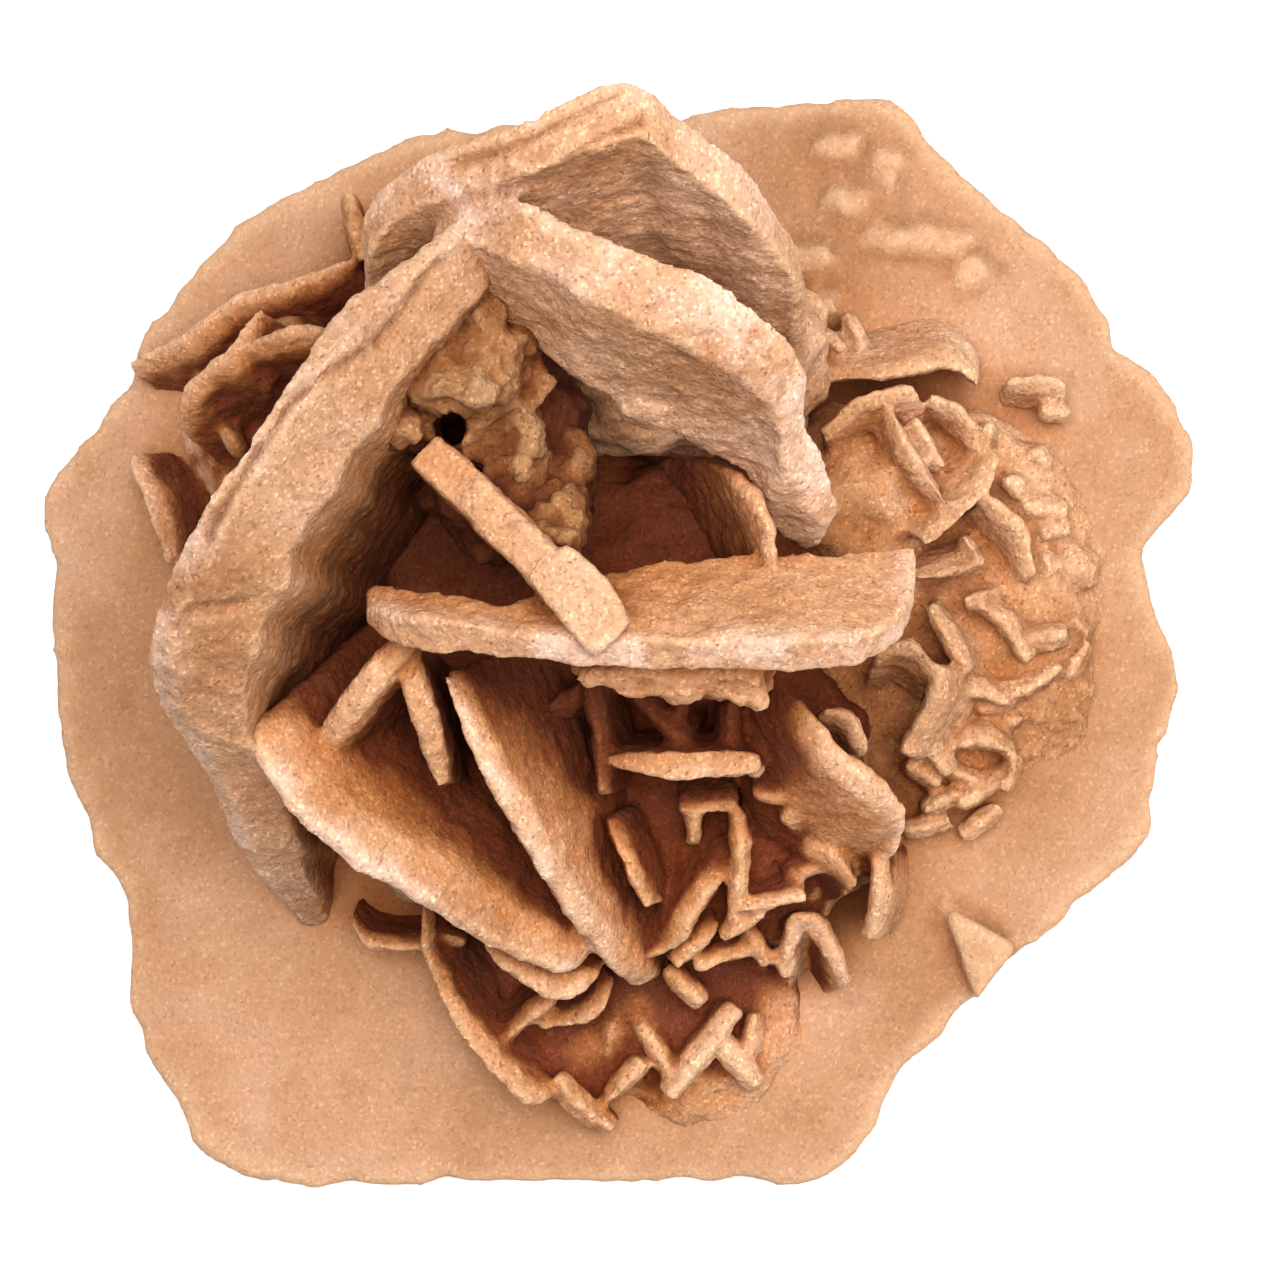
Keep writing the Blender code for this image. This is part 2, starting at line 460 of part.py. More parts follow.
def boolean(thing, name, operation, other):
    """Add a Boolean modifier and apply it; the exact solver loses solids here."""
    modifier = thing.modifiers.new(name, "BOOLEAN")
    modifier.operation = operation
    modifier.solver = "MANIFOLD"
    modifier.object = other
    bpy.context.view_layer.objects.active = thing
    bpy.ops.object.modifier_apply(modifier=modifier.name)


def merge_flat_faces(thing):
    """Make one face of neighbours that lie almost in one plane."""
    modifier = thing.modifiers.new("flat faces", "DECIMATE")
    modifier.decimate_type = "DISSOLVE"
    modifier.angle_limit = math.radians(FLAT_ANGLE)
    bpy.context.view_layer.objects.active = thing
    bpy.ops.object.modifier_apply(modifier=modifier.name)


def main():
    """Build the rose as one grown solid."""
    for thing in list(bpy.data.objects):
        bpy.data.objects.remove(thing)
    rose_collection = new_collection("sand rose")
    cutters = new_collection("cutters")
    rose = add_object("sand_rose", base_plate(), rose_collection)
    rose.data.materials.append(sand_material())
    for mesh in grown_parts():
        other = add_object(mesh.name, mesh, cutters)
        boolean(rose, mesh.name, "UNION", other)
        bpy.data.objects.remove(other)
    cutter = add_object("hole cutter", hole_cutter(), cutters)
    cutter.hide_render = True
    cutter.display_type = "WIRE"
    boolean(rose, "round hole", "DIFFERENCE", cutter)
    merge_flat_faces(rose)


main()
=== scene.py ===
# %% [markdown]
# # A gypsum sand rose
# A sand rose grows in damp desert sand. Gypsum crystals spread as flat lenses, called blades,
# and lock the sand grains inside them. This lesson rebuilds one rose: a wide base plate, a few
# tall thick blades, many thin bladelets, and the loose sand between them. The solid model of
# the rose is loaded first as a fixed frame, and the finer skin is made to fit it.

# %% Load the frame
import math

import bmesh
import bpy
import numpy as np
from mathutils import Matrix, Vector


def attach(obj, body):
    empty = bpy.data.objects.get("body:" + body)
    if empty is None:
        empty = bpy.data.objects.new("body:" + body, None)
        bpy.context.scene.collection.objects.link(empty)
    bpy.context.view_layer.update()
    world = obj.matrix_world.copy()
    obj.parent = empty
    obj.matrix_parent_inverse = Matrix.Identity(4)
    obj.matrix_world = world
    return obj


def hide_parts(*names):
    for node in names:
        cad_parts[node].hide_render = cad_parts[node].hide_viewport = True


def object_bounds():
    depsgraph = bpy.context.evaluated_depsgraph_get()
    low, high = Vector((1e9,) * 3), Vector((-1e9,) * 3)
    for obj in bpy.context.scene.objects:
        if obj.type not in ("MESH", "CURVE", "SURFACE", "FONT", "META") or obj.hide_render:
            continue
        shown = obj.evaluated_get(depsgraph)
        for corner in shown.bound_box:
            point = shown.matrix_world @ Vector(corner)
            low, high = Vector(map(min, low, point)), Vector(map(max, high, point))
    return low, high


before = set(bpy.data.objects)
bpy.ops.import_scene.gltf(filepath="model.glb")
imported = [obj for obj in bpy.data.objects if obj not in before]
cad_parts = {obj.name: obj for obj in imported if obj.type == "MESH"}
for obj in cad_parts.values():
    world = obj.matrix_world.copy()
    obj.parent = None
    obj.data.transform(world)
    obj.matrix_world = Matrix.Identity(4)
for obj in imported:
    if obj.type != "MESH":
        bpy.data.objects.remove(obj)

MM = 0.001
cad_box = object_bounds()
print("solid model, mm:", [[round(v / MM, 1) for v in corner] for corner in cad_box])

# %% [markdown]
# ## Uneven by rule, not by chance
# Everything on the rose is a little uneven: rims wander, faces swell, sand is lumpy. One
# function of place gives all of it. It blends fixed pseudo-random values, so the same rose
# grows every time the script runs. Blender has noise of its own, but only point by point,
# and a whole array at once is far quicker.

# %% Smooth noise
def soft_noise(points, cell, seed=0):
    """Noise from -1 to 1. Each corner of a cubic lattice with this cell has its own value,
    and a point takes the eight values round it, weighted by 3t^2 - 2t^3 along each axis."""
    place = np.asarray(points, float) / cell + 0.37 * seed
    low = np.floor(place).astype(np.int64)
    share = place - low
    share = share * share * (3.0 - 2.0 * share)
    total = np.zeros(len(place))
    for corner in np.ndindex(2, 2, 2):
        lattice = low + corner
        mixed = lattice[:, 0] * 73856093 ^ lattice[:, 1] * 19349663 ^ lattice[:, 2] * 83492791
        mixed = ((mixed + seed * 1013) ^ (mixed >> 13)) * 1274126177 & 0x7FFFFFFF
        value = (mixed ^ mixed >> 15 & 0xFFFF) / 0x40000000 - 1.0
        total += value * np.where(corner, share, 1.0 - share).prod(axis=1)
    return total


def rough_noise(points, cell, layers=3, seed=0):
    """Soft noise summed over layers, each half the size and half the height of the last."""
    return sum(soft_noise(points, cell / 2 ** i, seed + i) / 2 ** i for i in range(layers))


print("noise check:", soft_noise(np.array([[0.2, 0.4, 0.9], [3.1, 0.4, 7.7]]), 1.0).round(3))

# %% [markdown]
# ## Curves and skins
# A blade's rim and the plate's outline are measured at a few points, in millimetres, and a
# smooth curve runs through them. Skins are grids of points: rows that follow each other along
# a path, each row one closed section.

# %% Curve through points
def smooth_curve(points, count, closed=False):
    """Catmull-Rom curve: between two points it is the cubic whose slope at each of them is
    half the step from the point before to the point after."""
    points = np.array(points, dtype=float)
    if closed:
        padded = np.vstack((points[-1:], points, points[:2]))
    else:
        first = 2 * points[:1] - points[1:2]
        last = 2 * points[-1:] - points[-2:-1]
        padded = np.vstack((first, points, last))
    spans = len(padded) - 3
    place = np.linspace(0, spans, count, endpoint=not closed)
    span = np.minimum(place.astype(int), spans - 1)
    t = (place - span)[:, None]
    a, b, c, d = (padded[span + i] for i in range(4))
    curve = 2 * b + (c - a) * t + (2 * a - 5 * b + 4 * c - d) * t ** 2
    return 0.5 * (curve + (3 * b - a - 3 * c + d) * t ** 3)


# %% Skin of a grid
def skin(grid):
    """Points grid[i, j] with rows closed in j: quads between the rows, and the first and last
    rows closed by fans to their middles."""
    rows, columns = grid.shape[:2]
    points = np.vstack((grid.reshape(-1, 3), grid[0].mean(axis=0), grid[-1].mean(axis=0)))
    i, j = np.meshgrid(np.arange(rows - 1), np.arange(columns), indexing="ij")
    k = (j + 1) % columns
    quads = np.stack((i * columns + j, i * columns + k, (i + 1) * columns + k,
                      (i + 1) * columns + j), axis=-1).reshape(-1, 4)
    j = np.arange(columns)
    k = (j + 1) % columns
    first, last = rows * columns, rows * columns + 1
    start = np.column_stack((k, j, np.full(columns, first)))
    end = np.column_stack(((rows - 1) * columns + j, (rows - 1) * columns + k,
                           np.full(columns, last)))
    return points, quads.tolist() + start.tolist() + end.tolist()


# %% [markdown]
# ## The base plate
# The plate is a wide thin lens that lies flat and carries the rose. Its outline is wavy where
# neighbouring lenses have merged, and full of small nicks. A cut slab would have a sharp
# upright edge. Here the outline is carried inward in rings that rise to a low crown, and the
# underside is flat in the middle, where the rose rests.

# %% Plate outline and rings
PLATE_RIM_LOW = 1.5
PLATE_RIM_HIGH = 2.7
PLATE_CROWN = 1.4
PLATE_FLAT_SHARE = 0.55
PLATE_CENTRE = (0.5, 0.0)
PLATE_POINTS = 360
PLATE_EDGE_SHARE = 0.985
PLATE_EDGE_ROUND = 0.015
NICK_DEPTH = 0.55
NICK_CELL = 2.2
PLATE_OUTLINE = (
    (3.6, 29.0), (7.8, 29.3), (12.7, 29.7), (15.3, 29.3), (18.9, 25.4), (22.5, 22.6),
    (25.1, 20.4), (27.6, 16.6), (29.5, 14.3), (31.3, 11.2), (31.6, 9.0), (29.5, 6.3),
    (28.7, 5.0), (29.5, 2.2), (30.7, -2.5), (29.5, -6.7), (28.9, -10.5), (25.6, -13.6),
    (23.1, -16.2), (20.9, -17.6), (17.1, -22.0), (15.1, -23.8), (13.8, -27.1),
    (11.6, -29.3), (6.7, -29.7), (1.1, -29.6), (-5.3, -29.5), (-13.7, -29.7),
    (-18.5, -29.5), (-22.6, -27.8), (-24.4, -24.7), (-26.8, -20.9), (-27.2, -14.2),
    (-29.2, -10.2), (-30.8, -4.3), (-31.1, 0.2), (-31.1, 4.0), (-31.5, 8.1),
    (-29.2, 11.5), (-27.0, 14.3), (-25.9, 17.5), (-23.0, 20.6), (-20.3, 23.3),
    (-16.4, 25.4), (-11.5, 27.6), (-5.9, 28.6), (-1.0, 28.6),
)


def plate_skin():
    """Rings at a share s of the outline. Above, the height is rim + crown * (1 - s^2); below,
    it is zero within the flat share and then rises with s^2 to the rim; between, a half
    round joins the two. First the outline is drawn in by nick depth * |rough noise|."""
    outline = smooth_curve(PLATE_OUTLINE, PLATE_POINTS, closed=True)
    centre = np.array(PLATE_CENTRE)
    place = np.column_stack((outline, np.zeros(PLATE_POINTS)))
    nicks = np.abs(rough_noise(place, NICK_CELL, 3, 61))
    outline -= (NICK_DEPTH * nicks / np.linalg.norm(outline, axis=1))[:, None] * outline
    below = np.linspace(0.1, PLATE_EDGE_SHARE, 12)
    above = np.linspace(PLATE_EDGE_SHARE, 0.05, 16)
    rise = (below ** 2 - PLATE_FLAT_SHARE ** 2) / (1 - PLATE_FLAT_SHARE ** 2)
    turn = np.linspace(-math.pi / 2, math.pi / 2, 7)[1:-1]
    middle = 0.5 * (PLATE_RIM_LOW + PLATE_RIM_HIGH)
    half = 0.5 * (PLATE_RIM_HIGH - PLATE_RIM_LOW)
    edge = PLATE_EDGE_SHARE + PLATE_EDGE_ROUND * np.cos(turn)
    shares = np.concatenate((below, edge, above))
    levels = np.concatenate((PLATE_RIM_LOW * np.maximum(rise, 0.0), middle + half * np.sin(turn),
                             PLATE_RIM_HIGH + PLATE_CROWN * (1 - above ** 2)))
    grid = np.empty((len(shares), len(outline), 3))
    grid[:, :, :2] = centre + shares[:, None, None] * (outline - centre)
    grid[:, :, 2] = levels[:, None]
    return skin(grid)


print("plate across, mm:", np.ptp(PLATE_OUTLINE, axis=0).round(1))

# %% [markdown]
# ## Large blades
# A large blade is a slab with a sloping band along its free rim, like a worn chisel. What the
# eye measures best is that rim, so the blade is made from it: a six-sided section is carried
# along the rim, and runs down from it the way the crystal grew. A box would have to be bent
# by hand, while here one list of points gives the bend, the height and the length.

# %% Blade from its rim
FOOT_LEVEL = 1.3
STEPS_PER_POINT = 22
LEAST_REACH = 0.8
UNEVEN = 0.12


def blade_skin(rim, fall, depth, thick, bevel, edge=0.3, ends=0.3, end_reach=0.35,
               fade=0.5, one_sided=0, wander=0.12):
    """Section at each rim point p, seen along the rim: a flat strip of the edge share, then a
    slope down to the shoulders, p +- h*a + b*f, and down to the feet, p +- h*a + r*f. f is the
    fall, a the direction across that points up, h half the thickness, b the bevel and r the
    reach, which ends at the foot level. A one-sided blade is moved by h, so its slope is all
    on the upper side. Towards the ends h and r shrink with sin(pi * place) ^ fade. The rim
    wanders along f by rough noise, and soft noise varies b and h by the uneven share."""
    count = STEPS_PER_POINT * len(rim)
    points = smooth_curve(rim, count)
    fall = np.array(fall) / np.linalg.norm(fall)
    across = np.cross(points[-1] - points[0], fall)
    across /= np.linalg.norm(across) * (-1 if across[2] < 0 else 1)
    points = points + (wander * rough_noise(points, 1.3, 2, 5))[:, None] * fall
    swell = np.sin(math.pi * np.linspace(0, 1, count)) ** fade
    reach = depth * (end_reach + (1 - end_reach) * swell)
    to_foot = (points[:, 2] - FOOT_LEVEL) / -fall[2]
    reach = np.maximum(np.minimum(reach, to_foot), LEAST_REACH)
    slope = np.minimum(bevel * (1 + UNEVEN * soft_noise(points, 3.0, 9)), 0.6 * reach)
    half = 0.5 * thick * (ends + (1 - ends) * swell) * (1 + UNEVEN * soft_noise(points, 1.7, 3))
    flat = edge * half
    shift = one_sided * half
    inner = shift + flat - one_sided * (half - flat)
    none = np.zeros(count)
    side = np.stack((inner, half + shift, half + shift, shift - half, shift - half,
                     inner - 2 * flat), axis=1)
    down = np.stack((none, slope, reach, reach, slope, none), axis=1)
    grid = points[:, None, :] + side[:, :, None] * across + down[:, :, None] * fall
    return skin(grid)


# %% Large blades of this rose
LARGE_BLADES = {
    "left wing": dict(
        rim=((-6.8, 21.7, 27.5), (-9.4, 19.2, 29.0), (-13.6, 15.7, 30.0),
             (-17.8, 9.6, 30.0), (-20.7, 5.4, 29.0), (-22.8, 0.9, 27.0),
             (-22.8, -2.3, 24.0), (-21.2, -6.4, 18.0), (-19.6, -11.4, 11.0),
             (-17.4, -15.1, 4.0)),
        fall=(0.17, -0.06, -0.98), depth=31.0, thick=4.6, bevel=2.8, ends=0.15,
        one_sided=1),
    "right wing": dict(
        rim=((-8.4, 21.5, 27.5), (-6.2, 22.1, 28.5), (-1.5, 20.1, 29.5),
             (1.6, 18.7, 29.5), (4.7, 17.6, 29.0), (7.6, 15.6, 27.5),
             (9.1, 13.7, 26.0), (9.5, 10.9, 23.5), (11.3, 7.4, 19.5)),
        fall=(-0.15, -0.45, -0.88), depth=9.5, thick=2.7, bevel=1.6, one_sided=1),
    "back wing": dict(
        rim=((-12.7, 18.5, 21.0), (-12.4, 21.4, 25.0), (-9.5, 23.8, 28.0),
             (-4.6, 25.2, 29.5), (-0.6, 27.0, 30.0), (1.3, 27.1, 29.5),
             (3.1, 25.7, 28.0), (6.3, 23.5, 25.0), (8.0, 21.6, 22.0),
             (9.3, 19.7, 18.0), (9.7, 16.7, 12.0)),
        fall=(0.05, -0.42, -0.90), depth=33.0, thick=2.6, bevel=1.0, one_sided=1),
    "shelf": dict(
        rim=((-6.5, 0.1, 25.5), (-3.0, -0.3, 25.9), (0.5, -0.6, 26.0),
             (5.8, -0.6, 26.0), (11.1, -0.5, 25.4), (13.6, 0.4, 24.2),
             (14.7, 1.8, 22.5), (15.1, 3.4, 20.5)),
        fall=(0.02, 0.62, -0.78), depth=7.0, thick=2.1, bevel=0.3, edge=0.85,
        ends=0.6, end_reach=0.15, fade=0.8),
    "shelf tip": dict(
        rim=((-12.5, 1.4, 22.5), (-11.0, 0.7, 24.2), (-7.6, 0.2, 25.4),
             (-3.0, -0.4, 25.8)),
        fall=(0.02, 0.55, -0.83), depth=2.6, thick=2.0, bevel=0.3, edge=0.85,
        ends=0.5, end_reach=0.5),
    "strut": dict(
        rim=((-9.6, 9.7, 24.0), (-4.7, 5.0, 26.0), (-0.3, 0.4, 27.0)),
        fall=(0.0, 0.0, -1.0), depth=13.0, thick=2.2, bevel=0.4, edge=0.8,
        ends=0.85, end_reach=0.8),
    "strut end": dict(
        rim=((-3.4, 4.1, 26.6), (-1.6, 2.1, 27.1), (-0.2, 0.3, 27.3)),
        fall=(0.0, 0.0, -1.0), depth=2.5, thick=2.9, bevel=0.2, edge=0.9,
        ends=0.8, end_reach=0.8),
    "fin": dict(
        rim=((3.4, 9.6, 14.5), (4.9, 9.3, 18.5), (6.3, 8.3, 21.2), (7.5, 6.3, 22.5),
             (7.9, 4.2, 22.5), (7.6, 2.2, 21.5)),
        fall=(-0.32, 0.0, -0.95), depth=9.0, thick=1.0, bevel=0.5),
    "lower left wing": dict(
        rim=((-18.2, -3.9, 20.0), (-18.2, -5.0, 20.5), (-17.4, -6.7, 20.5),
             (-16.0, -8.8, 20.0), (-13.4, -11.1, 19.0), (-10.0, -13.1, 17.5),
             (-6.4, -15.5, 15.5), (-3.2, -16.9, 13.5), (-2.3, -17.0, 12.0)),
        fall=(0.42, 0.42, -0.80), depth=22.0, thick=2.8, bevel=2.2),
    "lower left spur": dict(
        rim=((-7.2, -15.8, 12.0), (-5.8, -17.0, 12.5), (-3.7, -18.4, 12.0),
             (-2.3, -18.4, 11.5), (-1.1, -17.4, 10.5)),
        fall=(0.30, 0.50, -0.81), depth=14.0, thick=1.6, bevel=1.0),
    "long blade": dict(
        rim=((-8.7, -1.6, 20.5), (-7.5, -4.6, 20.5), (-6.3, -7.1, 20.0),
             (-4.8, -9.8, 18.5), (-3.3, -12.7, 16.5), (-1.7, -15.0, 14.0),
             (0.1, -17.4, 10.5), (1.0, -18.2, 8.0)),
        fall=(0.40, 0.22, -0.89), depth=22.0, thick=1.7, bevel=0.9),
    "short blade": dict(
        rim=((-10.4, 0.6, 22.0), (-12.9, -2.3, 21.0), (-15.0, -5.2, 18.5)),
        fall=(0.15, -0.15, -0.98), depth=14.0, thick=1.5, bevel=0.4, edge=0.6,
        ends=0.8),
    "middle blade": dict(
        rim=((-10.7, -0.4, 21.0), (-9.7, -3.8, 20.5), (-8.9, -7.2, 18.0)),
        fall=(0.10, 0.0, -0.99), depth=14.0, thick=1.3, bevel=0.4, edge=0.6,
        ends=0.8),
    "right blade": dict(
        rim=((7.5, -2.3, 16.0), (9.3, -2.9, 17.5), (11.3, -5.4, 17.5),
             (13.4, -7.2, 16.5), (14.9, -8.9, 14.5), (14.6, -10.9, 12.0)),
        fall=(-0.36, -0.42, -0.83), depth=11.0, thick=1.7, bevel=0.9, end_reach=0.2,
        fade=1.0),
    "low ledge": dict(
        rim=((-0.6, -6.0, 16.5), (3.2, -6.2, 17.5), (7.3, -6.1, 16.5)),
        fall=(0.0, 0.10, -0.99), depth=11.0, thick=1.6, bevel=0.2, edge=0.85),
    "lower slant": dict(
        rim=((6.3, -11.0, 12.0), (5.3, -12.4, 12.0), (3.9, -14.5, 11.5),
             (2.9, -15.9, 10.5), (1.1, -16.8, 9.0)),
        fall=(-0.35, 0.35, -0.87), depth=11.0, thick=1.5, bevel=0.8),
    "curved wing": dict(
        rim=((-10.7, -14.7, 7.0), (-10.1, -17.0, 8.0), (-8.6, -20.2, 8.5),
             (-7.3, -22.1, 8.5), (-5.5, -23.9, 8.0), (-4.3, -24.6, 7.0),
             (-3.3, -24.3, 5.0)),
        fall=(0.40, 0.20, -0.89), depth=8.0, thick=1.3, bevel=0.8),
    "outer left ledge": dict(
        rim=((-26.5, 15.1, 5.0), (-23.3, 16.4, 7.0), (-20.4, 18.2, 8.5),
             (-17.6, 18.9, 9.5), (-14.2, 20.2, 10.0)),
        fall=(0.40, -0.40, -0.82), depth=9.0, thick=1.6, bevel=0.9),
    "inner left ledge": dict(
        rim=((-23.3, 11.2, 9.0), (-22.9, 12.9, 11.0), (-21.7, 14.2, 12.0),
             (-20.1, 15.3, 13.0), (-18.7, 17.5, 12.0)),
        fall=(0.45, -0.35, -0.82), depth=12.0, thick=1.4, bevel=0.8),
    "upper left ledge": dict(
        rim=((-19.6, 15.4, 13.0), (-17.4, 16.1, 14.5), (-15.2, 16.2, 15.0)),
        fall=(0.40, -0.30, -0.87), depth=14.0, thick=1.4, bevel=0.8),
    "outer left blade": dict(
        rim=((-26.2, 10.1, 6.0), (-25.1, 7.2, 7.0), (-24.1, 4.2, 6.0)),
        fall=(0.50, 0.10, -0.86), depth=6.0, thick=1.3, bevel=0.8),
}
print("large blades:", len(LARGE_BLADES), "highest rim, mm:",
      max(point[2] for blade in LARGE_BLADES.values() for point in blade["rim"]))

# %% [markdown]
# ## Bladelets
# Between and around the large blades stand dozens of thin bladelets, about a millimetre thick,
# that cross each other at all angles. They are the same kind of crystal as the large blades,
# only smaller, so they are made the same way: from the rim, and leaning to one side of it.

# %% Bladelet
SMALL_BLADE_DEPTH = 11.0
SMALL_BLADE_BEVEL = 0.7
SMALL_BLADE_EDGE = 0.2
SMALL_BLADE_ENDS = 0.6
SMALL_BLADE_END_REACH = 0.75


def bladelet_skin(lean, thick, rim):
    """A thin blade whose fall is (-lean * dy, lean * dx, -1), (dx, dy) being the direction
    of its rim seen from above: a positive lean lets its left face slope out."""
    along = np.array(rim[-1], float) - np.array(rim[0], float)
    length = math.hypot(along[0], along[1])
    fall = (-lean * along[1] / length, lean * along[0] / length, -1.0)
    return blade_skin(rim, fall, SMALL_BLADE_DEPTH, thick, SMALL_BLADE_BEVEL,
                      SMALL_BLADE_EDGE, SMALL_BLADE_ENDS, SMALL_BLADE_END_REACH)


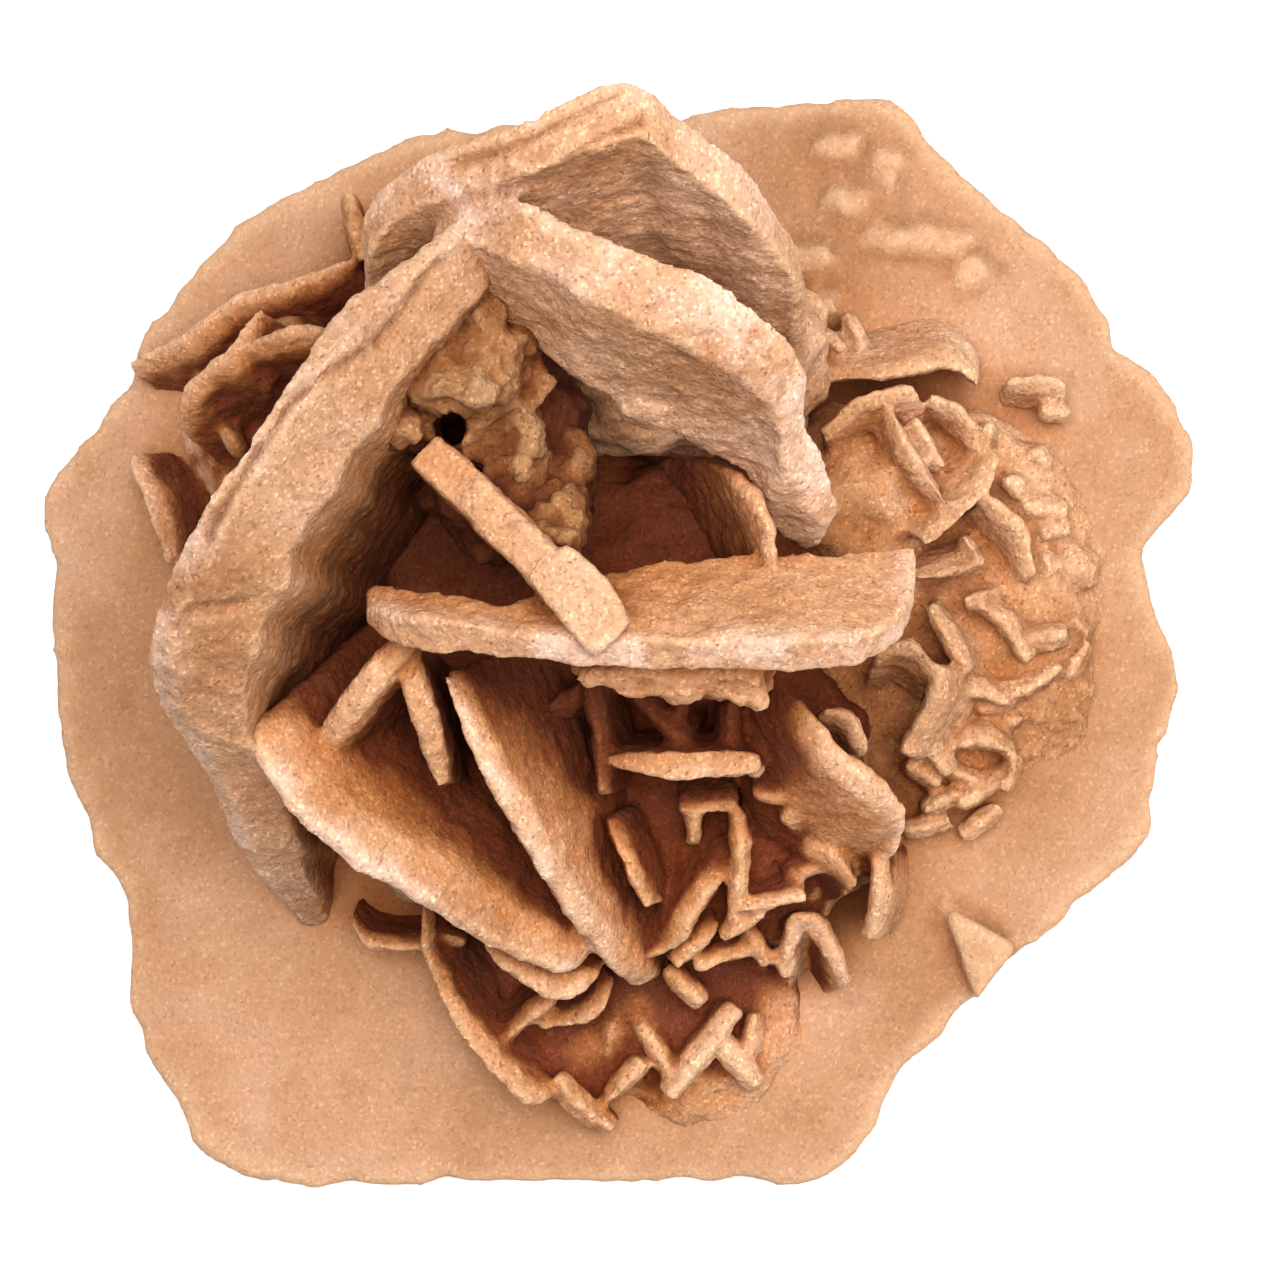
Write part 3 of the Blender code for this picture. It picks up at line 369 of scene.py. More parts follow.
# %% Bladelets of this rose
SMALL_BLADES = {
    "right fan": (
        (0.5, 1.1, ((10.5, 14.0, 7.5), (13.3, 14.1, 8), (15.5, 14.5, 8), (17.9, 14.8, 7.5),
                    (19.3, 13.8, 7))),
        (-0.5, 1.2, ((10.7, 11.3, 9), (12.2, 12.7, 9.5), (13.7, 13.3, 9.5), (15.6, 13.7, 9))),
        (-0.35, 1.1, ((14.5, 12.3, 9.5), (15.4, 10.4, 9.5), (16.4, 9.0, 9), (17.5, 7.5, 8.5))),
        (-0.3, 0.9, ((15.8, 12.0, 9), (16.7, 10.5, 8.5), (17.4, 9.4, 8))),
        (-0.3, 1.0, ((16.7, 13.2, 8), (18.2, 12.5, 8), (19.1, 11.4, 7.5), (19.3, 10.3, 7))),
        (-0.8, 1.0, ((20.4, 10.1, 7), (19.8, 8.4, 8), (18.6, 7.0, 8.5), (16.4, 5.1, 9))),
        (-0.5, 1.3, ((19.7, 7.8, 8), (20.9, 6.9, 8), (21.8, 5.6, 7.5), (22.4, 3.7, 7))),
        (-0.4, 1.0, ((20.8, 14.2, 5.5), (23.0, 14.3, 6), (24.1, 13.9, 5.5))),
        (0.0, 0.9, ((22.8, 12.6, 5.5), (24.2, 12.4, 5))),
        (0.3, 1.2, ((15.6, 3.4, 9.5), (18.0, 3.8, 9), (19.6, 4.2, 8))),
        (0.0, 1.0, ((18.3, 5.8, 8.5), (19.3, 4.3, 8.5))),
        (0.2, 1.1, ((20.8, 8.9, 6.5), (21.6, 7.9, 6))),
        (0.2, 1.1, ((22.7, 5.8, 6), (24.2, 6.1, 5.5))),
        (0.0, 1.2, ((21.8, 7.4, 6), (24.1, 7.1, 5.5))),
        (0.0, 1.1, ((22.8, 5.0, 6), (23.5, 3.1, 5.5))),
        (0.0, 1.2, ((22.4, 10.5, 5.5), (23.2, 9.5, 5))),
        (0.0, 1.0, ((19.9, 11.8, 6.5), (19.6, 10.3, 7))),
        (0.0, 1.1, ((25.3, 4.2, 4.6), (25.6, 3.1, 4.6))),
        (-0.3, 1.3, ((13.6, -0.5, 11), (15.3, 0.1, 11.5), (16.7, -1.2, 11))),
        (0.4, 1.3, ((16.8, -1.0, 11), (16.5, -2.7, 10.5), (15.0, -5.8, 9))),
        (0.2, 1.2, ((16.4, 2.1, 9), (17.7, -0.2, 9), (18.6, -1.5, 8))),
        (0.2, 1.2, ((19.0, 2.1, 8), (20.5, 1.1, 8), (21.9, -0.9, 7))),
        (0.0, 1.4, ((21.5, 0.1, 7), (24.1, 0.6, 6.5))),
        (0.0, 1.2, ((25.3, 0.1, 5.5), (24.1, -1.9, 5.5))),
        (0.0, 1.1, ((23.7, -2.6, 5), (22.5, -4.1, 5))),
        (0.0, 1.1, ((24.4, 1.4, 5.5), (25.4, 0.4, 5.3))),
        (0.4, 1.2, ((16.9, -2.5, 8), (18.9, -2.6, 7.5), (20.9, -3.2, 6.5))),
        (0.0, 1.1, ((19.4, -3.6, 6), (21.3, -2.9, 6))),
        (0.3, 1.1, ((19.7, -2.7, 6.5), (21.9, -2.5, 6.5), (23.8, -1.3, 6))),
        (0.0, 1.1, ((20.3, -4.5, 5.3), (21.8, -3.9, 5.3))),
        (0.3, 1.2, ((17.6, -5.4, 6.5), (19.7, -5.3, 7), (21.2, -6.1, 6.5))),
        (0.0, 1.1, ((21.3, -6.0, 6.5), (20.8, -7.9, 6))),
        (0.3, 1.2, ((18.3, -8.7, 6), (20.9, -7.3, 6))),
        (0.0, 1.1, ((18.5, -10.4, 5.2), (20.6, -8.9, 5))),
        (0.3, 1.2, ((15.8, -4.8, 8), (16.7, -5.9, 7.5), (17.6, -7.0, 6.5))),
        (0.0, 1.1, ((16.4, -9.0, 6), (18.3, -8.0, 6))),
        (0.0, 1.1, ((15.4, -10.1, 5.5), (17.9, -9.6, 5.2))),
        (-0.4, 1.1, ((10.7, -3.5, 13), (12.2, -3.8, 13), (13.0, -5.6, 12))),
        (0.0, 1.0, ((15.4, -6.4, 7), (17.2, -7.6, 6))),
        (0.0, 1.0, ((17.9, -6.9, 6), (19.2, -7.3, 6))),
        (0.0, 1.0, ((12.2, 17.8, 6), (13.1, 16.0, 6))),
        (0.0, 1.0, ((10.9, 16.8, 6.5), (12.0, 15.6, 7))),
        (0.3, 1.0, ((20.4, 3.0, 7.5), (18.3, 2.4, 8.5))),
    ),
    "under the shelf": (
        (0.2, 1.0, ((-1.7, -1.5, 16), (-1.1, -4.7, 16.5), (-0.9, -7.8, 15))),
        (0.2, 1.0, ((0.7, -2.7, 15), (2.3, -4.2, 16), (3.5, -5.1, 16))),
        (0.0, 0.9, ((3.4, -2.9, 16), (2.7, -4.5, 15.5))),
        (0.0, 1.1, ((5.7, -2.9, 16), (5.9, -5.9, 15))),
        (0.3, 1.2, ((7.2, -7.9, 14), (9.5, -7.9, 14), (10.6, -7.1, 14.5))),
        (0.0, 0.9, ((6.2, -5.8, 16.5), (7.4, -6.6, 15.5))),
        (0.5, 0.9, ((3.3, -8.8, 13.5), (6.2, -8.5, 13.5))),
        (0.0, 0.9, ((4.0, -8.7, 13.5), (3.9, -10.5, 12.5))),
        (0.0, 1.0, ((6.2, -8.7, 13.5), (6.4, -11.5, 13), (6.0, -15.4, 11))),
        (0.3, 1.0, ((-0.6, -9.1, 14), (0.5, -11.7, 14), (1.5, -13.8, 12.5))),
        (0.4, 1.0, ((6.5, -14.0, 12), (9.9, -13.4, 12))),
        (0.3, 1.1, ((5.5, -15.5, 11), (7.8, -14.2, 11.5))),
        (-0.3, 1.1, ((9.7, -10.3, 12), (11.5, -11.2, 12), (12.6, -12.6, 11))),
        (0.2, 1.1, ((13.5, -10.8, 12), (13.6, -13.4, 11.5), (13.2, -15.6, 10))),
        (0.2, 1.0, ((-1.8, -2.4, 15), (-3.8, -3.5, 14))),
        (0.3, 1.1, ((9.5, -7.9, 14), (8.6, -9.3, 13))),
        (0.2, 1.0, ((8.7, -12.2, 11), (10.7, -11.8, 11))),
    ),
    "lower fan": (
        (-0.2, 1.3, ((9.2, -14.4, 9.5), (10.7, -14.8, 9.5), (12.4, -18.2, 8))),
        (0.2, 1.1, ((9.2, -14.5, 9.5), (8.6, -17.8, 8))),
        (0.0, 1.1, ((6.7, -15.0, 9.5), (8.1, -17.2, 8.5))),
        (0.4, 1.1, ((3.1, -17.0, 9.5), (5.4, -14.7, 10.5))),
        (0.0, 1.2, ((2.6, -17.3, 8), (4.5, -19.2, 7.5))),
        (0.5, 1.1, ((4.2, -17.2, 9), (7.1, -16.4, 9))),
        (0.3, 1.1, ((-14.4, -14.9, 6.5), (-13.4, -16.1, 7), (-10.7, -16.2, 7.5))),
        (0.3, 1.1, ((-10.4, -13.7, 9), (-10.3, -16.3, 8.5))),
        (0.0, 1.0, ((-9.8, -15.2, 8), (-8.1, -15.9, 7.5))),
        (0.3, 1.3, ((-6.3, -21.5, 7), (-3.3, -18.8, 8))),
        (0.6, 1.2, ((-4.2, -20.7, 6.5), (-1.3, -19.9, 7.5), (-0.3, -17.8, 8))),
        (0.0, 1.6, ((-3.4, -23.3, 6.5), (-2.0, -24.9, 6.2), (-0.3, -26.2, 5.5))),
        (0.2, 1.2, ((-0.6, -24.7, 5.5), (1.4, -22.6, 6))),
        (0.0, 1.1, ((1.1, -20.4, 6), (2.4, -22.4, 6), (2.8, -24.0, 5.5))),
        (0.3, 1.4, ((2.8, -24.4, 6), (6.5, -19.6, 7))),
        (0.0, 1.5, ((5.4, -21.2, 6.5), (7.5, -23.9, 5.5))),
        (0.0, 1.1, ((7.3, -19.9, 6), (7.0, -22.1, 5.5))),
        (0.0, 1.0, ((-0.3, -20.2, 5.5), (-0.6, -22.1, 5))),
    ),
    "upper left fan": (
        (0.3, 1.1, ((-19.1, 15.3, 11), (-17.4, 15.6, 12), (-15.7, 15.2, 12.5))),
        (0.0, 1.1, ((-18.7, 13.1, 11), (-18.2, 14.6, 12), (-16.6, 15.8, 13))),
        (0.0, 1.1, ((-21.5, 12.3, 9), (-20.4, 10.8, 9.5), (-19.9, 10.0, 9))),
        (0.0, 1.0, ((-16.6, 13.7, 12), (-15.5, 14.2, 12))),
        (0.0, 1.1, ((-14.4, 23.9, 9), (-13.9, 21.8, 10), (-13.4, 20.2, 11))),
    ),
}
print("bladelets:", {group: len(rows) for group, rows in SMALL_BLADES.items()})

# %% [markdown]
# ## Sand lumps
# Sand that the crystals did not reach hangs between them as crumbly lumps, and the same
# shape in small is a crumb on the plate. A lump is a ball pulled to its own three sizes, and
# then pushed in and out by rough noise. Metaballs could make it too, but a grid of points
# joins the blades without a further step.

# %% Lump
SAND_FLOOR = 1.7
LUMP_TURNS = 48
LUMP_RINGS = 26


def rest_on_floor(grid):
    """Heights below the sand floor are pressed to floor - 0.4 d / (d + 2), d being how far
    below it they were."""
    below = np.maximum(SAND_FLOOR - grid[..., 2], 0.0)
    grid[..., 2] = np.where(below > 0, SAND_FLOOR - 0.4 * below / (below + 2.0), grid[..., 2])
    return grid


def lump_skin(centre, half_sizes, crumble=0.16):
    """Directions on a ball times the half sizes, times 1 + crumble * rough noise."""
    u = np.linspace(0, 2 * math.pi, LUMP_TURNS, endpoint=False)[None, :]
    v = np.linspace(-math.pi / 2, math.pi / 2, LUMP_RINGS)[1:-1, None]
    ball = np.stack((np.cos(u) * np.cos(v), np.sin(u) * np.cos(v),
                     np.sin(v) * np.ones_like(u)), axis=-1)
    half_sizes = np.array(half_sizes)
    place = (ball * half_sizes + np.array(centre)).reshape(-1, 3)
    swell = 1.0 + crumble * rough_noise(place, 0.5 * half_sizes.mean(), 3, 21)
    grid = ball * half_sizes * swell.reshape(ball.shape[:2])[:, :, None] + np.array(centre)
    return skin(rest_on_floor(grid))


# %% Lumps, crumbs and chip of this rose
SAND_LUMPS = (
    ((-5.6, 9.3, 12.4), (4.2, 4.8, 12.0)), ((-7.6, 15.2, 13.0), (5.0, 5.6, 12.8)),
    ((1.0, 16.0, 8.0), (9.5, 6.5, 8.5)), ((-2.0, 1.0, 5.0), (12.0, 11.0, 5.5)),
    ((-9.0, -5.0, 4.0), (8.0, 8.0, 6.0)), ((4.0, -8.0, 4.0), (11.0, 8.5, 5.8)),
    ((16.0, 2.0, 2.0), (10.5, 12.5, 4.0)), ((1.0, -19.0, 2.0), (10.0, 7.0, 3.2)),
    ((-17.2, 12.2, 3.0), (6.3, 6.8, 5.2)), ((4.4, 0.2, 21.4), (5.8, 3.0, 3.0)),
    ((-6.4, 15.8, 25.0), (1.0, 1.9, 1.1)), ((-10.3, 14.0, 25.4), (1.2, 1.0, 1.1)),
    ((-3.2, 5.6, 21.0), (1.8, 2.2, 3.6)), ((2.2, 12.2, 21.6), (2.4, 1.4, 1.8)),
    ((5.8, 11.0, 20.6), (2.8, 1.3, 2.2)), ((24.4, 4.1, 4.0), (1.6, 1.3, 1.4)),
    ((-10.9, 11.2, 23.6), (1.9, 1.5, 1.3)), ((8.6, 8.8, 20.6), (1.1, 1.0, 1.3)),
    ((-8.9, 13.0, 25.0), (0.8, 0.9, 0.9)), ((-7.5, 12.0, 3.0), (5.0, 5.0, 3.5)),
    ((13.0, 7.5, 3.5), (5.0, 5.5, 5.0)), ((-10.8, 12.3, 12.0), (4.0, 4.2, 11.7)),
)

PLATE_CRUMBS = (
    ((11.8, 27.0, 3.0), (1.1, 0.7, 0.6)), ((14.5, 25.9, 3.1), (0.8, 1.1, 0.6)),
    ((12.2, 23.9, 3.2), (1.3, 0.8, 0.6)), ((14.9, 21.9, 3.3), (1.4, 0.6, 0.5)),
    ((17.0, 21.8, 3.2), (1.9, 0.8, 0.5)), ((19.1, 20.1, 3.2), (0.9, 0.7, 0.5)),
    ((10.4, 20.8, 3.6), (1.2, 0.8, 0.6)), ((11.1, 18.3, 3.7), (1.2, 0.9, 0.7)),
)
CHIP = ((17.6, -14.2), (19.4, -19.2), (21.6, -16.4))
CHIP_LEVELS = (2.0, 3.2, 4.3)
print("sand lumps:", len(SAND_LUMPS), "crumbs on the plate:", len(PLATE_CRUMBS))

# %% [markdown]
# ## Growing pieces together
# Real blades have no seam where they meet. Skins that overlap are put in one mesh, and a voxel
# remesh keeps only what is outside, in an even net. Joining them one by one with booleans
# would keep their long thin faces, and those can't carry fine relief. The round hole is
# drilled after the remesh, so that its edge stays round.

# %% Join and remesh
DRILL_TURNS = 36
DRILL_STEP = 0.25


def mesh_of(name, skins):
    """One mesh, in metres, from several closed skins in millimetres."""
    points, faces, first = [], [], 0
    for skin_points, skin_faces in skins:
        points.append(skin_points)
        faces += [[first + corner for corner in face] for face in skin_faces]
        first += len(skin_points)
    mesh = bpy.data.meshes.new(name)
    mesh.from_pydata((np.vstack(points) * MM).tolist(), [], faces)
    bm = bmesh.new()
    bm.from_mesh(mesh)
    bmesh.ops.recalc_face_normals(bm, faces=bm.faces)
    bm.to_mesh(mesh)
    bm.free()
    return mesh


def bore_skin(x, y, radius, low, high):
    """A closed upright tube whose radius at the angle t is
    radius * (1 + 0.05 sin(3t + 1) + 0.04 sin(5t)), with a ring at every drill step."""
    turn = np.linspace(0, 2 * math.pi, DRILL_TURNS, endpoint=False)
    uneven = radius * (1 + 0.05 * np.sin(3 * turn + 1) + 0.04 * np.sin(5 * turn))
    levels = np.arange(low, high, DRILL_STEP)
    grid = np.empty((len(levels), len(turn), 3))
    grid[:, :, 0] = x + uneven * np.cos(turn)
    grid[:, :, 1] = y + uneven * np.sin(turn)
    grid[:, :, 2] = levels[:, None]
    return skin(grid)


def remeshed(name, skins, voxel, bore=None):
    """The outside of the joined skins as an even net with this edge, in millimetres."""
    rough = bpy.data.objects.new(name + "_rough", mesh_of(name, skins))
    bpy.context.scene.collection.objects.link(rough)
    remesh = rough.modifiers.new("remesh", "REMESH")
    remesh.mode = "VOXEL"
    remesh.voxel_size = voxel * MM * 1.0
    if bore:
        drill = bpy.data.objects.new("drill", mesh_of("drill", [bore_skin(*bore)]))
        bpy.context.scene.collection.objects.link(drill)
        cut = rough.modifiers.new("bore", "BOOLEAN")
        cut.operation = "DIFFERENCE"
        cut.solver = "MANIFOLD"
        cut.object = drill
    soften = rough.modifiers.new("soften", "SMOOTH")
    soften.factor = 0.5
    soften.iterations = 1
    graph = bpy.context.evaluated_depsgraph_get()
    mesh = bpy.data.meshes.new_from_object(rough.evaluated_get(graph))
    bpy.data.objects.remove(rough)
    if bore:
        bpy.data.objects.remove(drill)
    mesh.name = name
    return mesh


# %% [markdown]
# ## Sandy surface
# The faces of a real blade swell gently, and then there are lumps the size of a pinhead, and
# then single grains. A bump in the material would show the grains but leave the outline
# smooth, so every point of the net moves along its normal by noise of three sizes. Long
# furrows run along the bands of the tall wings, and they are pressed in at the same time.

# %% Roughen
FURROWS = {
    "left wing": (
        ((-19.8, 5.3), (-17.4, 9.4), (-15.7, 11.7), (-13.7, 13.0), (-12.2, 14.0)),
        ((-11.5, 14.5), (-10.0, 16.4), (-8.5, 18.5)),
        ((-21.6, 0.7), (-20.6, 1.5), (-18.2, 1.9))),
    "rear wings": (
        ((-7.9, 23.3), (-5.3, 24.0), (-3.1, 25.0), (-1.5, 25.9), (0.0, 26.6)),
        ((-5.5, 22.0), (-3.1, 22.7), (-0.8, 24.1), (1.3, 25.2))),
}


def furrow_depth(points, furrows, width=0.32, depth=0.45):
    """depth * exp(-(d / width)^2), d being the distance to the nearest furrow from above."""
    near = np.full(len(points), 1e6)
    for furrow in furrows:
        for x, y in smooth_curve(furrow, 70):
            np.minimum(near, (points[:, 0] - x) ** 2 + (points[:, 1] - y) ** 2, out=near)
    return depth * np.exp(-near / width ** 2)


def points_and_normals(mesh):
    """The mesh's points in millimetres and its point normals, as arrays."""
    count = len(mesh.vertices)
    points = np.empty(count * 3)
    mesh.vertices.foreach_get("co", points)
    normals = np.empty(count * 3)
    mesh.vertex_normals.foreach_get("vector", normals)
    return points.reshape(-1, 3) / MM, normals.reshape(-1, 3)


def roughen(mesh, furrows=(), swell=0.12, lumps=0.11, grit=0.08):
    """Each point moves along its normal by swells of 5 mm, lumps of 1.6 mm and grit of
    0.5 mm, and into the furrows. What lies lowest stays put, so the rose still rests flat,
    and nothing leaves the solid model's box."""
    points, normals = points_and_normals(mesh)
    push = swell * soft_noise(points, 5.0, 31) + lumps * rough_noise(points, 1.6, 2, 41)
    push += grit * rough_noise(points, 0.5, 2, 51)
    push -= furrow_depth(points, furrows) * np.clip(normals[:, 2], 0.0, 1.0)
    push *= np.clip((points[:, 2] - 0.2) / 1.2, 0.0, 1.0)
    points = np.clip(points + push[:, None] * normals, *(np.array(cad_box) / MM))
    mesh.vertices.foreach_set("co", (points * MM).ravel())
    mesh.update()


print("furrows:", {name: len(lines) for name, lines in FURROWS.items()})

# %% [markdown]
# ## What the finish has to know
# Standing edges are painted lighter, a painted highlight, and grooves are painted darker,
# painted shade; near the rims of the large blades a whiter painted highlight is laid in
# patches, where the bands face the light. Painting this by hand would not follow the
# shape. So it is measured from the net, stored as one number per point, and the material
# reads these numbers by name.

# %% Edges and painted highlight
def neighbour_means(mesh, columns, rounds):
    """Each column of numbers, one per point, averaged half and half with the mean over the
    neighbours, round after round."""
    ends = np.empty(2 * len(mesh.edges), dtype=np.int32)
    mesh.edges.foreach_get("vertices", ends)
    one, two = ends.reshape(-1, 2).T
    count = len(mesh.vertices)
    share = 0.5 / np.bincount(ends, minlength=count)
    columns = [column.copy() for column in columns]
    for _ in range(rounds):
        for k, old in enumerate(columns):
            near = np.bincount(one, old[two], count) + np.bincount(two, old[one], count)
            columns[k] = 0.5 * old + share * near
    return np.column_stack(columns)


def stand_out(mesh, rounds):
    """How far each point stands out along its normal from its surroundings, in millimetres:
    the surroundings are the points averaged with their neighbours."""
    points, normals = points_and_normals(mesh)
    return ((points - neighbour_means(mesh, points.T, rounds)) * normals).sum(axis=1)


# Width in millimetres and strength of the whiter painted highlight along these large blades' rims.
HIGHLIGHT_BANDS = {
    "left wing": (1.4, 0.35), "right wing": (2.6, 0.55), "back wing": (1.2, 0.3),
    "shelf": (1.3, 0.6), "shelf tip": (1.2, 0.5), "lower left wing": (1.4, 0.45),
    "long blade": (0.9, 0.45), "right blade": (0.7, 0.2), "low ledge": (1.6, 0.4),
}


def painted_highlight(points, names):
    """Painted highlight: strength * exp(-(d / width)^2) for the nearest of these blades' rims, in
    space.
    """
    total = np.zeros(len(points))
    for name in names:
        width, strength = HIGHLIGHT_BANDS[name]
        near = np.full(len(points), 1e6)
        for place in smooth_curve(LARGE_BLADES[name]["rim"], 50):
            np.minimum(near, ((points - place) ** 2).sum(axis=1), out=near)
        np.maximum(total, strength * np.exp(-near / width ** 2), out=total)
    return total


def patches(points):
    """How much of the painted highlight stays: rough noise from -0.25 to 0.35 is mapped to
    0.15..1.
    """
    share = (rough_noise(points, 2.4, 3, 81) + 0.25) / 0.6
    return 0.15 + 0.85 * np.clip(share, 0.0, 1.0)


def paint(mesh, name, values):
    """Stores one number per point, which the material reads by this name."""
    mesh.attributes.new(name, "FLOAT", "POINT").data.foreach_set("value", values)


# %% [markdown]
# ## The finish
# The crust is sand locked in gypsum: warm pinkish tan and dull, with single grains that are
# paler or redder. One material makes it, from the painted numbers, which carry painted
# highlight and painted shade, and from a cell pattern with cells the size of grains. Pattern
# follows place on the object, so it stays put from every side. The same material is made
# four times, with the plate, the left wing and the loose filling made darker than the rest;
# in the filling this is partly its own darker sand and partly painted shade under the wings.

# %% Node helpers
FACTOR, UNDER, OVER, MIXED = 0, 6, 7, 2


def add_node(tree, kind, place, **values):
    """A new node in the tree, with its input sockets or settings set by name."""
    node = tree.nodes.new(kind)
    node.location = place
    for name, value in values.items():
        if name in node.inputs:
            node.inputs[name].default_value = value
        else:
            setattr(node, name, value)
    return node


def colour_ramp(tree, place, stops):
    """A ramp whose stops are (position, colour) pairs."""
    ramp = add_node(tree, "ShaderNodeValToRGB", place)
    elements = ramp.color_ramp.elements
    while len(elements) < len(stops):
        elements.new(0.5)
    for element, (position, colour) in zip(elements, stops):
        element.position = position
        element.color = (*colour, 1.0)
    return ramp


def map_range(tree, place, low, high, top):
    """A node that maps low..high evenly to 0..top, and keeps to it outside."""
    node = add_node(tree, "ShaderNodeMapRange", place)
    node.inputs["From Min"].default_value = low
    node.inputs["From Max"].default_value = high
    node.inputs["To Max"].default_value = top
    return node


def mix_colours(tree, place, colour=None, blend_type="MIX"):
    """A mix node, towards this colour where one is given. Its colour sockets are found by
    the four numbers above."""
    node = add_node(tree, "ShaderNodeMix", place, data_type="RGBA", blend_type=blend_type)
    if colour:
        node.inputs[OVER].default_value = (*colour, 1.0)
    return node


# %% Sandy gypsum
GRAINS_PER_METRE = 6500.0
FINE_PER_METRE = 3200.0


def sandy_gypsum(name, grain_share, tone):
    """Base colour: mottled tan, then a painted highlight on standing edges, a whiter painted
    highlight at the rims of the large blades, painted shade in grooves and a redder painted
    shade where it lies deep. All this is multiplied by the grain colour at its share, and by
    the tone."""
    material = bpy.data.materials.new(name)
    material.use_nodes = True
    tree = material.node_tree
    link = tree.links.new
    shader = tree.nodes["Principled BSDF"]
    painted = {}
    for row, key in enumerate(("mottle", "rim", "painted_highlight", "hidden")):
        painted[key] = add_node(tree, "ShaderNodeAttribute", (-1200, 900 - 200 * row),
                                attribute_name=key)
    tan = colour_ramp(tree, (-950, 900), (
        (0.2, (0.27, 0.115, 0.045)), (0.5, (0.385, 0.195, 0.096)), (0.8, (0.49, 0.29, 0.18))))
    # Painted highlight on standing edges, from rim numbers 0.1 to 0.9.
    high = map_range(tree, (-950, 650), 0.1, 0.9, 0.75)
    # Painted shade in grooves, from rim numbers -0.05 to -0.7.
    low = map_range(tree, (-950, 400), -0.05, -0.7, 0.8)
    # Painted shade where other parts hide the sky: how strong, and which red brown.
    deep = map_range(tree, (-950, 150), 0.2, 0.65, 0.95)
    depths = colour_ramp(tree, (-950, -100), (
        (0.2, (0.42, 0.20, 0.085)), (0.45, (0.34, 0.115, 0.026)), (0.75, (0.085, 0.012, 0.001))))
    # Mixed in turn towards the painted highlight on edges, the whiter painted highlight at the
    # rims, painted shade in grooves and the deep painted shade.
    lighter = mix_colours(tree, (-700, 800), (0.54, 0.32, 0.175))
    whiter = mix_colours(tree, (-500, 700), (0.68, 0.50, 0.40))
    deeper = mix_colours(tree, (-300, 600), (0.19, 0.078, 0.032))
    redder = mix_colours(tree, (-100, 500))
    link(painted["mottle"].outputs["Fac"], tan.inputs["Fac"])
    link(painted["rim"].outputs["Fac"], high.inputs["Value"])
    link(painted["rim"].outputs["Fac"], low.inputs["Value"])
    link(painted["hidden"].outputs["Fac"], deep.inputs["Value"])
    link(painted["hidden"].outputs["Fac"], depths.inputs["Fac"])
    link(high.outputs["Result"], lighter.inputs[FACTOR])
    link(painted["painted_highlight"].outputs["Fac"], whiter.inputs[FACTOR])
    link(low.outputs["Result"], deeper.inputs[FACTOR])
    link(deep.outputs["Result"], redder.inputs[FACTOR])
    link(tan.outputs["Color"], lighter.inputs[UNDER])
    link(lighter.outputs[MIXED], whiter.inputs[UNDER])
    link(whiter.outputs[MIXED], deeper.inputs[UNDER])
    link(deeper.outputs[MIXED], redder.inputs[UNDER])
    link(depths.outputs["Color"], redder.inputs[OVER])
    coords = add_node(tree, "ShaderNodeTexCoord", (-1500, -400))
    grains = add_node(tree, "ShaderNodeTexVoronoi", (-1200, -300), Scale=GRAINS_PER_METRE)
    grain_tone = colour_ramp(tree, (-950, -350), (
        (0.0, (0.52, 0.42, 0.34)), (0.22, (0.88, 0.85, 0.82)),
        (0.75, (1.1, 1.1, 1.1)), (0.93, (1.5, 1.6, 1.7))))
    grained = mix_colours(tree, (150, 300), blend_type="MULTIPLY")
    grained.inputs[FACTOR].default_value = grain_share
    toned = mix_colours(tree, (350, 300), tone, "MULTIPLY")
    toned.inputs[FACTOR].default_value = 1.0
    link(coords.outputs["Object"], grains.inputs["Vector"])
    link(grains.outputs["Color"], grain_tone.inputs["Fac"])
    link(redder.outputs[MIXED], grained.inputs[UNDER])
    link(grain_tone.outputs["Color"], grained.inputs[OVER])
    link(grained.outputs[MIXED], toned.inputs[UNDER])
    link(toned.outputs[MIXED], shader.inputs["Base Color"])
    fine = add_node(tree, "ShaderNodeTexNoise", (-1200, -600), Scale=FINE_PER_METRE, Detail=1.0)
    bump = add_node(tree, "ShaderNodeBump", (-500, -600), Strength=0.6, Distance=0.00014)
    link(coords.outputs["Object"], fine.inputs["Vector"])
    link(fine.outputs["Fac"], bump.inputs["Height"])
    link(bump.outputs["Normal"], shader.inputs["Normal"])
    shader.inputs["Roughness"].default_value = 0.85
    shader.inputs["Specular IOR Level"].default_value = 0.12
    return material


sand = sandy_gypsum("sandy_gypsum", 1.0, (0.98, 0.98, 1.0))
# Darker tones for the plate, the left wing and the filling; the filling's is partly painted shade
# under the wings.
own_sand = {"base_plate": sandy_gypsum("plate_gypsum", 0.5, (0.86, 0.86, 0.9)),
            "left_wing": sandy_gypsum("wing_gypsum", 1.0, (0.84, 0.85, 0.88)),
            "filler": sandy_gypsum("loose_sand", 1.0, (0.6, 0.62, 0.6))}
print("materials:", [material.name for material in bpy.data.materials])


# %% [markdown]
# ## Making the pieces
# The rose is grown in eleven pieces, because one net fine enough for the near blades would be
# far too heavy for the whole plate. Every piece takes the same steps, and rides the one body
# of the rose, since a sand rose has nothing that moves.

# %% Grow a piece
RIM_HEIGHT = 0.22
EDGE_ROUNDS = 14
MOTTLE_CELL = 6.0
MOTTLE = 0.3
PLATE_MOTTLE = 0.18


